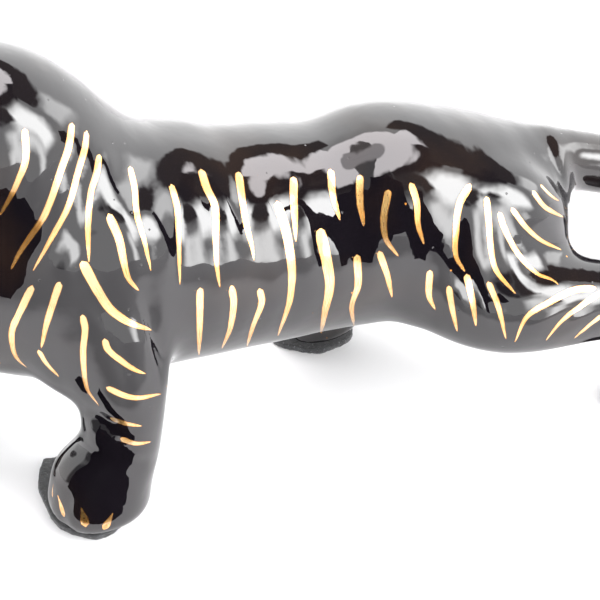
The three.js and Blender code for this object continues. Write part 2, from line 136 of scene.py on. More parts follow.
# A paw of size 1: heights of the middles of its parts, their radii, and the places of its toes
INSTEP_HEIGHT = 17.5
INSTEP_RADII = (18.5, 16.8, 18.5)
SOLE_MIDDLE_HEIGHT = 7
SOLE_RADII = (18, 17)
SOLE_HALF_HEIGHT = 8
PAW_AHEAD = 0.5
TOE_HEIGHT = 11.5
TOE_RADII = (10.5, 5.8, 10)
TOE_PLACES = (-1.5, -0.5, 0.5, 1.5)
TOES_AHEAD = 8
TOE_SPACING = 8.2
TOE_ROW_CURVE = 1.3

# How softly each part runs into what it is joined to
SOFTNESS = {
    "neck": 18,
    "throat": 16,
    "head": 10,
    "leg": 8,
    "tail": 7,
    "upper_arm": 12,
    "foreleg": 9,
    "thigh": 12,
    "heel": 7,
    "paw": 5,
    "sole": 8,
    "toe": 4,
}
LEFT_FRONT = {
    "side": -1,
    "paw": 1,
    "spread": PAW_SPREAD,
    "arm": (1, 33, 70),
    "joints": [(12, 46, 54), (9, 46.5, 30)],
}
RIGHT_FRONT = {
    "side": 1,
    "paw": -62,
    "spread": PAW_SPREAD,
    "arm": (-6, 33, 71),
    "joints": [(-6, 44, 56), (-42, 46, 34)],
}
LEFT_HIND = {
    "side": -1,
    "paw": 237.5,
    "spread": 43,
    "hip": (166, 26, 77),
    "joints": [(168, 41, 59), (206, 45, 54.5), (237, 44.5, 49)],
    "ankle": (234.5, 43.5, 27),
}
RIGHT_HIND = {
    "side": 1,
    "paw": 121.5,
    "spread": 47,
    "hip": (156, 26, 77),
    "joints": [(134, 41, 60), (152, 43.5, 47), (158, 45, 40)],
    "ankle": (135, 46.5, 24),
}

# The pads: the leg that stands on each, its cut and the seed of its waves. The waves of the cut edge
# have a height and, each, their count round the pad, share of that height and share of the seed
PADS = {
    "felt_pad_front_left": (LEFT_FRONT, FRONT_PAD, 1.1),
    "felt_pad_front_right": (RIGHT_FRONT, FRONT_PAD, 2.7),
    "felt_pad_hind_left": (LEFT_HIND, HIND_PAD, 4.2),
    "felt_pad_hind_right": (RIGHT_HIND, HIND_PAD, 5.9),
}
EDGE_WAVE_HEIGHT = 0.6
EDGE_WAVES = [(3, 1.0, 1.0), (7, 0.7, 2.3)]

# Fineness: the grid that the fine surface is found on, and the coarse one that says where to look
GRID_STEP = 1.55
COARSE_FACTOR = 4
SEARCH_REACH = 8.0
GRID_HALF_WIDTH = 72
GRID_AHEAD_OF_HEAD = 64
GRID_ABOVE_HEAD = 44
GRID_MARGIN = 4
EVENING_ROUNDS = 2
EVENING_SHARE = 0.6


# Distances to shapes, negative inside. Points are rows of x, y, z


def ellipsoid(p, centre, radii):
    q = (p - np.asarray(centre, float)) / np.asarray(radii, float)
    reach = np.sqrt((q * q).sum(-1))
    slope = np.sqrt(((q / radii) ** 2).sum(-1)) + 1e-6
    return reach * (reach - 1) / slope


def taper(p, start, end, start_radius, end_radius):
    start = np.asarray(start, float)
    along = np.asarray(end, float) - start
    t = np.clip((p - start) @ along / (along @ along), 0, 1)
    q = p - start - t[:, None] * along
    return np.sqrt((q * q).sum(-1)) - (start_radius + t * (end_radius - start_radius))


def soft_union(a, b, softness):
    overlap = np.maximum(softness - np.abs(a - b), 0) / softness
    return np.minimum(a, b) - overlap * overlap * softness / 4


def carve(solid, tool, softness):
    return -soft_union(-solid, tool, softness)


def join(distance, *others):
    """A shape with others joined on, each by its distances and the name of its softness."""
    for other, name in others:
        distance = soft_union(distance, other, SOFTNESS[name])
    return distance


def smooth_curve(rows, parameter):
    """A smooth curve through rows of numbers, whose first column is the parameter."""
    rows = np.asarray(rows, float)
    knots = rows[:, 0]
    u = np.clip(parameter, knots[0], knots[-1])
    i = np.clip(np.searchsorted(knots, u, side="right") - 1, 0, len(knots) - 2)
    before = np.maximum(np.arange(len(knots)) - 1, 0)
    after = np.minimum(np.arange(len(knots)) + 1, len(knots) - 1)
    slopes = (rows[after] - rows[before]) / (knots[after] - knots[before])[:, None]
    span = (knots[i + 1] - knots[i])[:, None]
    t = (u - knots[i])[:, None] / span
    start_weight = 2 * t**3 - 3 * t**2 + 1
    start_slope = (t**3 - 2 * t**2 + t) * span
    end_slope = (t**3 - t**2) * span
    return (
        start_weight * rows[i]
        + (1 - start_weight) * rows[i + 1]
        + start_slope * slopes[i]
        + end_slope * slopes[i + 1]
    )


def limb(p, joints, steps_per_joint=10, reach=25.0):
    """A round limb of changing thickness along a smooth curve through its joints."""
    rows = [(i, *joint) for i, joint in enumerate(joints)]
    steps = (len(joints) - 1) * steps_per_joint
    curve = smooth_curve(rows, np.linspace(0, len(joints) - 1, steps + 1))[:, 1:]
    thickness = curve[:, 3].max()
    low = curve[:, :3].min(0) - thickness
    high = curve[:, :3].max(0) + thickness
    outside = np.maximum(np.maximum(low - p, p - high), 0)
    distance = np.sqrt((outside * outside).sum(-1))
    near = distance < reach
    q = p[near]
    nearest = np.full(len(q), np.inf)
    for a, b in zip(curve[:-1], curve[1:]):
        nearest = np.minimum(nearest, taper(q, a[:3], b[:3], a[3], b[3]))
    distance[near] = nearest
    return distance


def trunk(p):
    x, y, z = p.T
    _, middle, half_width, half_height = smooth_curve(TRUNK, x).T
    beyond = np.minimum(x - TRUNK[0][0], 0) + np.maximum(x - TRUNK[-1][0], 0)
    cap = np.where(beyond < 0, TRUNK_CAP_FRONT, TRUNK_CAP_BACK)
    radii = np.stack([cap, half_width, half_height], 1)
    return ellipsoid(np.stack([beyond, y, z - middle], 1), 0, radii)


def on_side(side, place):
    return (place[0], side * place[1], place[2])


def paw_place(leg, behind, height):
    return (leg["paw"] + behind, leg["side"] * leg["spread"], height)


def paw(p, leg, size):
    instep = paw_place(leg, -PAW_AHEAD, INSTEP_HEIGHT * size)
    sole = paw_place(leg, -PAW_AHEAD, SOLE_MIDDLE_HEIGHT)
    sole_radii = (*np.multiply(SOLE_RADII, size), SOLE_HALF_HEIGHT)
    toes = []
    for place in TOE_PLACES:
        x, y, z = paw_place(leg, -TOES_AHEAD * size, TOE_HEIGHT * size)
        middle = (x + TOE_ROW_CURVE * place * place, y + place * TOE_SPACING * size, z)
        toes.append((ellipsoid(p, middle, np.multiply(TOE_RADII, size)), "toe"))
    distance = ellipsoid(p, instep, np.multiply(INSTEP_RADII, size))
    return join(distance, (ellipsoid(p, sole, sole_radii), "sole"), *toes)


def joints_of(leg, places, radii):
    """Joints as x, y, z and radius, from places on the leg's own side."""
    return [(*on_side(leg["side"], place), radius) for place, radius in zip(places, radii)]


def front_leg_joints(leg):
    end = (leg["paw"] + FORELEG_END[0], leg["spread"], FORELEG_END[1])
    return joints_of(leg, (FORELEG_TOP, *leg["joints"], end), FORELEG_RADII)


def front_leg(p, leg):
    return join(
        ellipsoid(p, on_side(leg["side"], SHOULDER), SHOULDER_RADII),
        (ellipsoid(p, on_side(leg["side"], leg["arm"]), UPPER_ARM_RADII), "upper_arm"),
        (limb(p, front_leg_joints(leg)), "foreleg"),
        (paw(p, leg, FRONT_PAW_SIZE), "paw"),
    )


def thigh_joints(leg):
    return joints_of(leg, (np.add(leg["hip"], FLANK_FROM_HIP), *leg["joints"]), THIGH_RADII)


def heel_joints(leg):
    end = (leg["paw"] + HEEL_END[0], leg["spread"], HEEL_END[1])
    return joints_of(leg, (leg["joints"][-1], leg["ankle"], end), HEEL_RADII)


def hind_leg(p, leg):
    return join(
        ellipsoid(p, on_side(leg["side"], leg["hip"]), HAUNCH_RADII),
        (limb(p, thigh_joints(leg)), "thigh"),
        (limb(p, heel_joints(leg)), "heel"),
        (paw(p, leg, HIND_PAW_SIZE), "paw"),
    )


def hollowed(p, form, hollow, softness):
    return carve(ellipsoid(p, *form), ellipsoid(p, *hollow), softness)


# The head: its middle, the skull, and the forms joined on or carved out, in order. Each has its
# softness and its shape. Then come a middle and radii, or both ends and both radii, measured from
# the middle of the skull. The ear has its form, its hollow and how softly that is carved

HEAD = np.array([-50.0, 0.0, 149.0])
SKULL = ((0, 0, 0), (33, 30, 28.5))
EAR = ((8, 23, 24), (6, 10.5, 11))
EAR_HOLLOW = ((0.5, 24, 25.5), (5.3, 7.4, 7.8))
HEAD_FORMS = {
    "ruff": (soft_union, 8, ellipsoid, (4, 23, -12), (14, 14, 22)),
    "cheek": (soft_union, 8, ellipsoid, (-6, 15, -20), (18, 13, 13)),
    "forehead": (soft_union, 8, ellipsoid, (-16, 0, 10), (19, 20, 13)),
    "nose_bridge": (soft_union, 8, taper, (-20, 0, 9), (-44, 0, 0), 14, 10.5),
    "muzzle": (soft_union, 6, ellipsoid, (-36, 0, -9), (19, 17, 13)),
    "whisker_pad": (soft_union, 3.5, ellipsoid, (-43, 9, -10), (12.5, 10, 9.2)),
    "jaw": (soft_union, 3.5, taper, (-40, 0, -20.5), (-10, 6, -22), 8.5, 12),
    "brow": (soft_union, 7, taper, (-34, 7.5, 10.5), (-22, 19, 12.5), 3.4, 3),
    "eye_socket": (carve, 4, taper, (-39, 9.5, 3.5), (-31, 19.5, 6.5), 3.6, 3.2),
    "eye": (soft_union, 1.2, ellipsoid, (-28, 13, 4.6), (6.6, 6.4, 4.9)),
    "nose": (soft_union, 2.5, ellipsoid, (-53, 0, -1.5), (4.5, 7.5, 4.6)),
    "ear": (soft_union, 5, hollowed, EAR, EAR_HOLLOW, 2.5),
    "mouth_front": (carve, 2.5, taper, (-60, 0, -6), (-58, 0, -14.5), 2.2, 2.2),
    "mouth_side": (carve, 2.5, taper, (-58, 0, -14.5), (-51, 8, -19), 2.2, 2.1),
    "mouth_corner": (carve, 2.5, taper, (-51, 8, -19), (-36, 15.5, -18), 2.1, 1.9),
}


def head(p):
    q = p - HEAD
    q[:, 1] = np.abs(q[:, 1])
    distance = ellipsoid(q, *SKULL)
    for blend, softness, shape, *sizes in HEAD_FORMS.values():
        distance = blend(distance, shape(q, *sizes), softness)
    return distance


def whole_animal(p):
    legs = [(front_leg(p, leg), "leg") for leg in (LEFT_FRONT, RIGHT_FRONT)]
    legs += [(hind_leg(p, leg), "leg") for leg in (LEFT_HIND, RIGHT_HIND)]
    front = [(limb(p, NECK), "neck"), (limb(p, THROAT), "throat"), (head(p), "head")]
    distance = join(trunk(p), *front, *legs, (limb(p, TAIL), "tail"))
    return carve(distance, p[:, 2] - SOLE_HEIGHT, SOLE_EDGE)


WORKER_COUNT = 4
WORKERS = ThreadPoolExecutor(WORKER_COUNT)
POINTS_AT_ONCE = 16000


def tiger(p):
    """Distances to the whole animal, in several lots side by side."""
    if len(p) < POINTS_AT_ONCE / WORKER_COUNT:
        return whole_animal(p)
    lots = np.array_split(p, max(WORKER_COUNT, math.ceil(len(p) / POINTS_AT_ONCE)))
    return np.concatenate(list(WORKERS.map(whole_animal, lots)))


# The fine surface

# The least steepness, squared, that a point is moved by, so that none is thrown far off
LEAST_SLOPE_SQUARED = 0.05


def slope_of(shape, p, reach=0.15):
    """The direction in which the distance grows, from four places round each point."""
    corners = np.array([(1, -1, -1), (-1, -1, 1), (-1, 1, -1), (1, 1, 1)], float)
    total = np.zeros_like(p)
    for corner in corners:
        total += shape(p + corner * reach)[:, None] * corner
    return total / (4 * reach)


def settle(shape, p, rounds=2):
    """Moves points along the shape's slope until they lie on its surface."""
    for _ in range(rounds):
        slope = slope_of(shape, p)
        steepness = np.maximum((slope * slope).sum(-1), LEAST_SLOPE_SQUARED)
        p = p - slope * (shape(p) / steepness)[:, None]
    return p


def sample_grid(shape, low, high, step):
    """The shape's distances on a fine grid, worked out only where a coarse grid comes near it."""
    coarse_step = step * COARSE_FACTOR
    counts = np.ceil((high - low) / coarse_step).astype(int) + 1
    axes = [low[i] + coarse_step * np.arange(counts[i]) for i in range(3)]
    coarse = shape(np.stack(np.meshgrid(*axes, indexing="ij"), -1).reshape(-1, 3)).reshape(counts)
    fine = coarse
    for axis in range(3):
        fine = np.repeat(fine, COARSE_FACTOR, axis)
    shift = (COARSE_FACTOR - 1) / 2 * step
    near = np.argwhere(np.abs(fine) < SEARCH_REACH)
    fine[tuple(near.T)] = shape(low - shift + near * step)
    return fine, low - shift


def surface_net(values, low, step):
    """One vertex in each grid cell that the surface crosses, one face across each such grid edge."""
    inside = values < 0
    shape = np.array(values.shape)
    corner_count = np.zeros(shape - 1, np.int8)
    for offset in np.ndindex(2, 2, 2):
        corner_count += inside[tuple(slice(o, n - 1 + o) for o, n in zip(offset, shape))]
    crossed = (corner_count > 0) & (corner_count < 8)
    cells = np.argwhere(crossed)
    vertex_of = np.full(crossed.shape, -1)
    vertex_of[crossed] = np.arange(len(cells))
    total = np.zeros((len(cells), 3))
    crossings = np.zeros(len(cells))
    faces = []
    for axis in range(3):
        unit, u, v = np.roll(np.eye(3, dtype=int), -axis, 0)
        for start in (0 * u, v, u, u + v):
            a = values[tuple((cells + start).T)]
            b = values[tuple((cells + start + unit).T)]
            cut = (a < 0) != (b < 0)
            t = a[cut] / (a[cut] - b[cut])
            total[cut] += (cells + start)[cut] + t[:, None] * unit
            crossings[cut] += 1
        first, second = [slice(1, -1)] * 3, [slice(1, -1)] * 3
        first[axis], second[axis] = slice(-1), slice(1, None)
        before, after = inside[tuple(first)], inside[tuple(second)]
        edges = np.argwhere(before != after)
        ring = [vertex_of[tuple((edges + corner).T)] for corner in (0 * u, u, u + v, v)]
        ring = np.stack(ring, 1)
        inward = ~before[tuple(edges.T)]
        ring[inward] = ring[inward][:, ::-1]
        faces.append(ring)
    return low + step * total / crossings[:, None], np.concatenate(faces)


def neighbour_mean(values, faces):
    """The mean of each vertex's neighbours along the faces' edges."""
    start = faces.ravel()
    end = np.roll(faces, -1, 1).ravel()
    count = len(values)
    total = np.zeros_like(values)
    for column in range(values.shape[1]):
        total[:, column] += np.bincount(start, values[end, column], count)
        total[:, column] += np.bincount(end, values[start, column], count)
    return total / (np.bincount(start, minlength=count) + np.bincount(end, minlength=count))[:, None]


def make_fine_surface():
    tail_end, _, _, tail_radius = TAIL[-1]
    behind = tail_end + tail_radius + GRID_MARGIN
    low = np.array([HEAD[0] - GRID_AHEAD_OF_HEAD, -GRID_HALF_WIDTH, SOLE_HEIGHT - GRID_MARGIN])
    high = np.array([behind, GRID_HALF_WIDTH, HEAD[2] + GRID_ABOVE_HEAD])
    values, low = sample_grid(tiger, low, high, GRID_STEP)
    vertices, faces = surface_net(values, low, GRID_STEP)
    for _ in range(EVENING_ROUNDS):
        vertices = vertices + EVENING_SHARE * (neighbour_mean(vertices, faces) - vertices)
        vertices = settle(tiger, vertices, 1)
    vertices = settle(tiger, vertices, 1)
    normals = slope_of(tiger, vertices)
    return vertices, faces, normals / np.linalg.norm(normals, axis=1, keepdims=True)


# The photograph's camera: it looks at a point on the middle plane, and sees 0.4 mm a pixel there

IMAGE_SIZE = 600
CAMERA_AZIMUTH = -19.0
CAMERA_ELEVATION = 33.0
CAMERA_DISTANCE = 900.0
CAMERA_TARGET = np.array([97.318, 0.0, 49.354])
PIXEL = 0.4
SENSOR_WIDTH = 36
CLIP_START = 0.05
CLIP_END = 50

# A ray starts this far before the camera's target, and goes on by a share of the way that is free
CAST_STARTS_BEFORE = 260
CAST_ROUNDS = 70
CAST_STRIDE = 0.85


def cosine_and_sine(degrees):
    return math.cos(math.radians(degrees)), math.sin(math.radians(degrees))


def camera_axes():
    c, s = cosine_and_sine(CAMERA_AZIMUTH)
    level, rise = cosine_and_sine(CAMERA_ELEVATION)
    right = np.array([c, s, 0])
    back = np.array([s * level, -c * level, rise])
    return right, np.cross(back, right), back


def cast(pixels):
    """Where the camera's rays through the pixels meet the tiger."""
    right, up, back = camera_axes()
    pixels = np.asarray(pixels, float)
    middle = IMAGE_SIZE / 2
    x = (pixels[:, :1] - middle) * PIXEL
    y = (middle - pixels[:, 1:]) * PIXEL
    direction = x * right + y * up - CAMERA_DISTANCE * back
    direction /= np.linalg.norm(direction, axis=1, keepdims=True)
    eye = CAMERA_TARGET + CAMERA_DISTANCE * back
    travelled = np.full(len(pixels), CAMERA_DISTANCE - CAST_STARTS_BEFORE)
    for _ in range(CAST_ROUNDS):
        travelled += CAST_STRIDE * tiger(eye + travelled[:, None] * direction)
    return settle(tiger, eye + travelled[:, None] * direction)


# Gold stripes, by their middle lines in the photograph's pixels: half width in mm, then the line

STRIPES = {
    "neck_a": (1.5, [(25, 132), (26, 159), (19, 179), (9, 200), (0, 215)]),
    "neck_b": (1.6, [(72, 126), (69, 147), (61, 170), (51, 200), (43, 218), (20, 252), (11, 269)]),
    "neck_c": (1.5, [(87, 134), (85, 149), (78, 172), (68, 207), (51, 239), (33, 271)]),
    "neck_d": (1.5, [(99, 158), (97, 172), (91, 192), (88, 229), (89, 262)]),
    "shoulder_e": (1.5, [(131, 169), (135, 188), (137, 214), (144, 239), (151, 270)]),
    "shoulder_f": (1.4, [(172, 187), (177, 207), (179, 239), (180, 284)]),
    "shoulder_g": (2.0, [(84, 265), (96, 288), (110, 309), (128, 322), (155, 331)]),
    "shoulder_h": (1.7, [(110, 218), (119, 239), (124, 262), (129, 279), (140, 292)]),
    "chest_i": (1.5, [(31, 289), (19, 314), (12, 331), (13, 350), (18, 360), (27, 368)]),
    "chest_j": (1.5, [(59, 285), (54, 300), (46, 326), (41, 349)]),
    "chest_k": (1.2, [(39, 352), (46, 364), (59, 377)]),
    "arm_a": (1.4, [(83, 318), (85, 329), (83, 350), (84, 371), (87, 389), (97, 407)]),
    "arm_b": (1.4, [(105, 341), (108, 350), (124, 363), (135, 370), (146, 374)]),
    "arm_c": (1.3, [(109, 389), (122, 395), (138, 398), (161, 394)]),
    "arm_d": (1.3, [(111, 422), (126, 425), (142, 426)]),
    "arm_e": (1.2, [(122, 442), (135, 445), (151, 442)]),
    "flank_a": (1.7, [(202, 172), (207, 188), (215, 206), (216, 238), (217, 265), (220, 288)]),
    "flank_b": (1.7, [(239, 175), (242, 198), (246, 222), (252, 246), (254, 260)]),
    "flank_c": (1.7, [(294, 180), (294, 198), (296, 241)]),
    "flank_d": (2.1, [(278, 206), (286, 230), (292, 270), (290, 301), (278, 336)]),
    "flank_e": (1.6, [(331, 172), (333, 195), (340, 220)]),
    "flank_f": (2.5, [(321, 234), (327, 262), (330, 285), (325, 313), (321, 333)]),
    "flank_g": (1.6, [(360, 178), (360, 201), (364, 226)]),
    "flank_h": (1.7, [(357, 258), (358, 285), (352, 306), (354, 326)]),
    "flank_i": (1.5, [(388, 193), (384, 217), (386, 239), (399, 257)]),
    "flank_j": (1.5, [(380, 254), (388, 278), (392, 297)]),
    "flank_k": (1.5, [(412, 186), (417, 203), (418, 224), (424, 244)]),
    "belly_a": (1.6, [(200, 291), (200, 322), (199, 355)]),
    "belly_b": (1.6, [(232, 289), (234, 303), (230, 330), (222, 349)]),
    "belly_c": (1.5, [(260, 291), (262, 303), (254, 325), (247, 347)]),
    "haunch_a": (1.5, [(430, 274), (429, 297), (435, 311)]),
    "haunch_b": (1.4, [(449, 289), (452, 308), (457, 332)]),
    "haunch_c": (1.6, [(469, 187), (460, 203), (456, 231), (456, 256), (465, 272)]),
    "haunch_d": (1.5, [(467, 277), (472, 299), (476, 327)]),
    "haunch_e": (1.5, [(487, 200), (489, 224), (491, 249), (496, 270), (516, 294)]),
    "haunch_f": (1.3, [(489, 284), (498, 306), (506, 339)]),
    "haunch_g": (1.4, [(500, 215), (505, 230), (517, 252), (537, 273), (551, 279), (558, 284)]),
    "haunch_h": (1.2, [(513, 210), (526, 227), (541, 240), (562, 250)]),
    "haunch_i": (1.3, [(534, 193), (544, 206), (554, 212), (564, 217)]),
    "haunch_j": (1.0, [(542, 186), (551, 195), (560, 201)]),
    "thigh_a": (1.5, [(593, 288), (574, 290), (548, 303), (527, 317), (515, 342)]),
    "thigh_b": (1.3, [(600, 293), (581, 306), (562, 321), (546, 341)]),
    "thigh_c": (1.2, [(600, 317), (588, 327), (574, 339)]),
}
CLAWS = {
    "claw_a": (0.8, [(53, 484), (52, 490), (52, 496)]),
    "claw_b": (1.5, [(57, 495), (60, 505), (63, 514)]),
    "claw_c": (1.9, [(81, 508), (83, 516), (85, 524)]),
    "claw_d": (1.9, [(113, 514), (110, 520), (106, 527)]),
}
LEG_STRIPES = ("arm_a", "arm_b", "arm_c", "arm_d", "arm_e")
MIRROR = (1, -1, 1)

# The brush lands round and full, and lifts to a fine end: share of the length, share of the width
BRUSH_PROFILE = [(0, 0.95), (0.06, 1.06), (0.2, 1), (0.5, 0.9), (0.75, 0.68), (0.92, 0.42), (1, 0.15)]
BRUSH_WIDTH = 0.9
CLAW_PROFILE = [(0, 0.15), (0.3, 0.35), (0.6, 0.8), (0.85, 1), (1, 0.95)]

# Spacing of a photographed line's points in pixels, rounds that settle a stroke, points along a leg's
# middle line, and how far a stroke of the hidden side may be moved in X and Z
PIXEL_SPACING = 3.0
SETTLE_ROUNDS = 5
AXIS_STEPS = 200
HIDDEN_SIDE_SEED = 7
HIDDEN_SIDE_SHIFT = (3, 2)


def resample(points, spacing=1.2):
    """Even steps along a smooth curve through the points."""
    points = np.asarray(points, float)
    lengths = np.linalg.norm(np.diff(points, axis=0), axis=1)
    along = np.concatenate([[0], np.cumsum(lengths)])
    steps = max(int(round(along[-1] / spacing)), 2)
    rows = np.column_stack([along, points])
    return smooth_curve(rows, np.linspace(0, along[-1], steps + 1))[:, 1:]


def all_in_one(move, lines):
    """Moves every line's points at once, which is faster than one line after another."""
    ends = np.cumsum([len(line) for line in lines])[:-1]
    return np.split(move(np.concatenate(lines)), ends)


def settle_together(lines):
    """Moves every line's points on to the surface."""
    return all_in_one(lambda points: settle(tiger, points, SETTLE_ROUNDS), lines)


def cast_together(rows):
    """Where the photograph's lines, the last values of the rows, lie on the tiger."""
    return all_in_one(cast, [resample(row[-1], PIXEL_SPACING) for row in rows])


def leg_axis(leg):
    joints = front_leg_joints(leg) if "arm" in leg else thigh_joints(leg) + heel_joints(leg)[1:]
    return np.array(joints)[:, :3]


def part_way(rows, shares):
    """The places at some shares of the way along a row of points."""
    own = np.linspace(0, 1, len(rows))
    return np.stack([np.interp(shares, own, column) for column in rows.T], 1)


def carry_over(points, from_leg, to_leg):
    """Carries a stroke from one leg to another, at the same share of the way down and round it."""
    fine = np.linspace(0, 1, AXIS_STEPS)
    axis = part_way(leg_axis(from_leg), fine)
    nearest = np.linalg.norm(points[:, None] - axis, axis=2).argmin(1)
    offset = points - axis[nearest]
    offset[:, 1] *= from_leg["side"] * to_leg["side"]
    return part_way(leg_axis(to_leg), fine[nearest]) + offset


def body_strokes(lines):
    """The strokes that the photograph shows, and plainer ones like them on the hidden side."""
    rng = np.random.default_rng(HIDDEN_SIDE_SEED)
    shift_x, shift_z = HIDDEN_SIDE_SHIFT
    strokes = []
    for name, points in lines.items():
        if name in LEG_STRIPES:
            other = carry_over(points, LEFT_FRONT, RIGHT_FRONT)
        else:
            shift = (rng.uniform(-shift_x, shift_x), 0, rng.uniform(-shift_z, shift_z))
            other = points * MIRROR + shift
        if name.startswith("thigh"):
            other = carry_over(points, LEFT_HIND, RIGHT_HIND)
        strokes += [(STRIPES[name][0], BRUSH_PROFILE, line) for line in (points, other)]
    return strokes


def claw_strokes():
    strokes = []
    for (half_width, _), points in zip(CLAWS.values(), cast_together(CLAWS.values())):
        for leg in (LEFT_FRONT, RIGHT_FRONT, LEFT_HIND, RIGHT_HIND):
            foot = np.array([leg["paw"], leg["side"] * leg["spread"], 0])
            offset = points - (LEFT_FRONT["paw"], -LEFT_FRONT["spread"], 0)
            offset[:, 1] *= -leg["side"]
            strokes.append((half_width, CLAW_PROFILE, foot + offset))
    return strokes


# Strokes that the photograph doesn't show, plainer: on the head, measured from the skull's middle

HEAD_STROKES = {
    "forehead_inner": (1.1, [(-26, 4, 20), (-14, 5, 26), (0, 6, 29)]),
    "forehead_outer": (1.2, [(-22, 12, 17), (-10, 15, 22), (3, 17, 23)]),
    "temple": (1.2, [(-12, 24, 14), (-4, 27, 14), (3, 29, 8)]),
    "cheek_upper": (1.4, [(-14, 27, 2), (-4, 31, -4), (6, 35, -12)]),
    "cheek_middle": (1.4, [(-18, 25, -8), (-8, 29, -15), (3, 34, -23)]),
    "cheek_lower": (1.3, [(-20, 21, -17), (-11, 24, -25), (-2, 27, -31)]),
    "upper_lid": (0.9, [(-36, 8.5, 8), (-31, 14, 10), (-26, 19.5, 8)]),
    "lower_lid": (0.7, [(-36, 9.5, 2), (-31, 15, 1.5), (-26, 19, 3)]),
    "iris": (1.7, [(-34, 12.4, 5.6), (-33.6, 12.9, 4.2)]),
    "nostril": (0.9, [(-57, 1, -0.5), (-56, 5, -1.5), (-54, 7, -3)]),
    "whisker_upper": (0.6, [(-52, 12, -7), (-46, 17, -6), (-40, 19, -5)]),
    "whisker_middle": (0.6, [(-53, 12, -10), (-46, 18, -10), (-39, 19.5, -10)]),
    "whisker_lower": (0.6, [(-52, 12, -13), (-46, 17, -14), (-40, 18, -14)]),
    "inner_ear": (1.6, [(4, 24, 31), (3.5, 24, 26), (3, 24, 21)]),
}
TAIL_RINGS = 9
TAIL_RINGS_FROM_JOINT = 4.0
TAIL_JOINTS_WITHOUT_RINGS = 4.6
TAIL_RING_HALF_WIDTH = 1.3
TAIL_RING_POINTS = 25
TAIL_RING_LEAN = 2.5
TAIL_STEP = 0.05
TAIL_RING_SPAN = math.radians(215)


def head_strokes():
    strokes = []
    for half_width, line in HEAD_STROKES.values():
        for side in (-1, 1):
            points = HEAD + resample(line) * (1, side, 1)
            strokes.append((half_width, BRUSH_PROFILE, points))
    return strokes


def tail_strokes():
    """Open rings over the top of the tail, starting from one side and from the other by turns."""
    rows = [(i, *joint) for i, joint in enumerate(TAIL)]
    joints_ringed = len(TAIL) - 1 - TAIL_JOINTS_WITHOUT_RINGS
    turn = np.linspace(-0.5, 0.5, TAIL_RING_POINTS)
    strokes = []
    for ring in range(TAIL_RINGS):
        share = TAIL_RINGS_FROM_JOINT + ring * joints_ringed / (TAIL_RINGS - 1)
        here, ahead = smooth_curve(rows, np.array([share, share + TAIL_STEP]))[:, 1:]
        forward = ahead[:3] - here[:3]
        forward /= np.linalg.norm(forward)
        sideways = np.array([0.0, 1.0, 0.0])
        upward = -np.cross(forward, sideways)
        angles = turn * TAIL_RING_SPAN * (1 if ring % 2 else -1)
        lean = 2 * TAIL_RING_LEAN * turn[:, None] * forward
        circle = np.cos(angles)[:, None] * upward + np.sin(angles)[:, None] * sideways
        points = here[:3] + here[3] * circle + lean
        strokes.append((TAIL_RING_HALF_WIDTH, BRUSH_PROFILE, points))
    return strokes


def all_strokes(lines):
    """Every gold stroke as (half width, profile, points on the surface)."""
    strokes = body_strokes(lines) + claw_strokes() + head_strokes() + tail_strokes()
    settled = settle_together([line for _, _, line in strokes])
    return [(width, profile, line) for (width, profile, _), line in zip(strokes, settled)]


# Furrows in the clay, in the photograph's pixels: half width and depth in mm, then the line

FURROWS = {
    "behind_foreleg": (3.4, 2.0, [(146, 290), (153, 322), (160, 345), (167, 366)]),
    "arm_crease": (3.0, 2.4, [(84, 416), (93, 420), (104, 427), (118, 432)]),
    "wrist_crease": (3.2, 1.5, [(79, 449), (97, 457), (122, 465), (153, 463)]),
    "toe_crease": (2.6, 0.6, [(128, 478), (124, 495), (122, 517)]),
    "toe_crease_middle": (2.6, 0.5, [(92, 484), (96, 500), (99, 525)]),
    "toe_crease_inner": (2.6, 0.5, [(66, 486), (70, 498), (73, 518)]),
    "tail_root": (3.0, 1.4, [(545, 132), (556, 160), (568, 196)]),
    "thigh_back": (3.0, 1.2, [(430, 262), (436, 290), (438, 322)]),
}

# The shallow valleys under the strokes. One of this half width, or a wider one, has the full depth
FULL_VALLEY_STROKE = 1.4
STRIPE_VALLEY_DEPTH = 0.32
STRIPE_VALLEY_WIDTH = 2.6
STRIPE_REACH = 8.0
FURROW_REACH = 3

# How deep a stroke's valley, a fold or a furrow is along its length: share of the length, share of
# the depth. A furrow keeps the depth that it has at the two shares out to its ends
STROKE_FADE = [(0, 0.5), (0.12, 1), (0.75, 1), (1, 0.3)]
FOLD_FADE = [(0, 0.1), (0.3, 0.9), (0.6, 1), (1, 0)]
FURROW_ENDS = (0.04, 0.96)

# Soft folds of flesh between neighbouring stripes: how steep they are, then the stripes in order
FOLD_ROWS = [
    (0.11, ["neck_a", "neck_b", "neck_c", "neck_d"]),
    (0.09, ["shoulder_h", "shoulder_e", "shoulder_f", "flank_a", "flank_b", "flank_c"]),
    (0.09, ["haunch_c", "haunch_e", "haunch_g", "haunch_h", "haunch_i", "haunch_j"]),
    (0.08, ["belly_a", "belly_b", "belly_c", "flank_d", "flank_f", "flank_h", "flank_j"]),
    (0.10, ["haunch_a", "haunch_b", "haunch_d", "haunch_f"]),
    (0.10, ["thigh_a", "thigh_b", "thigh_c"]),
]
FOLD_WIDTH_LIMIT = 6.5
FOLD_POINTS = 24
RIDGE_MARGIN = 1

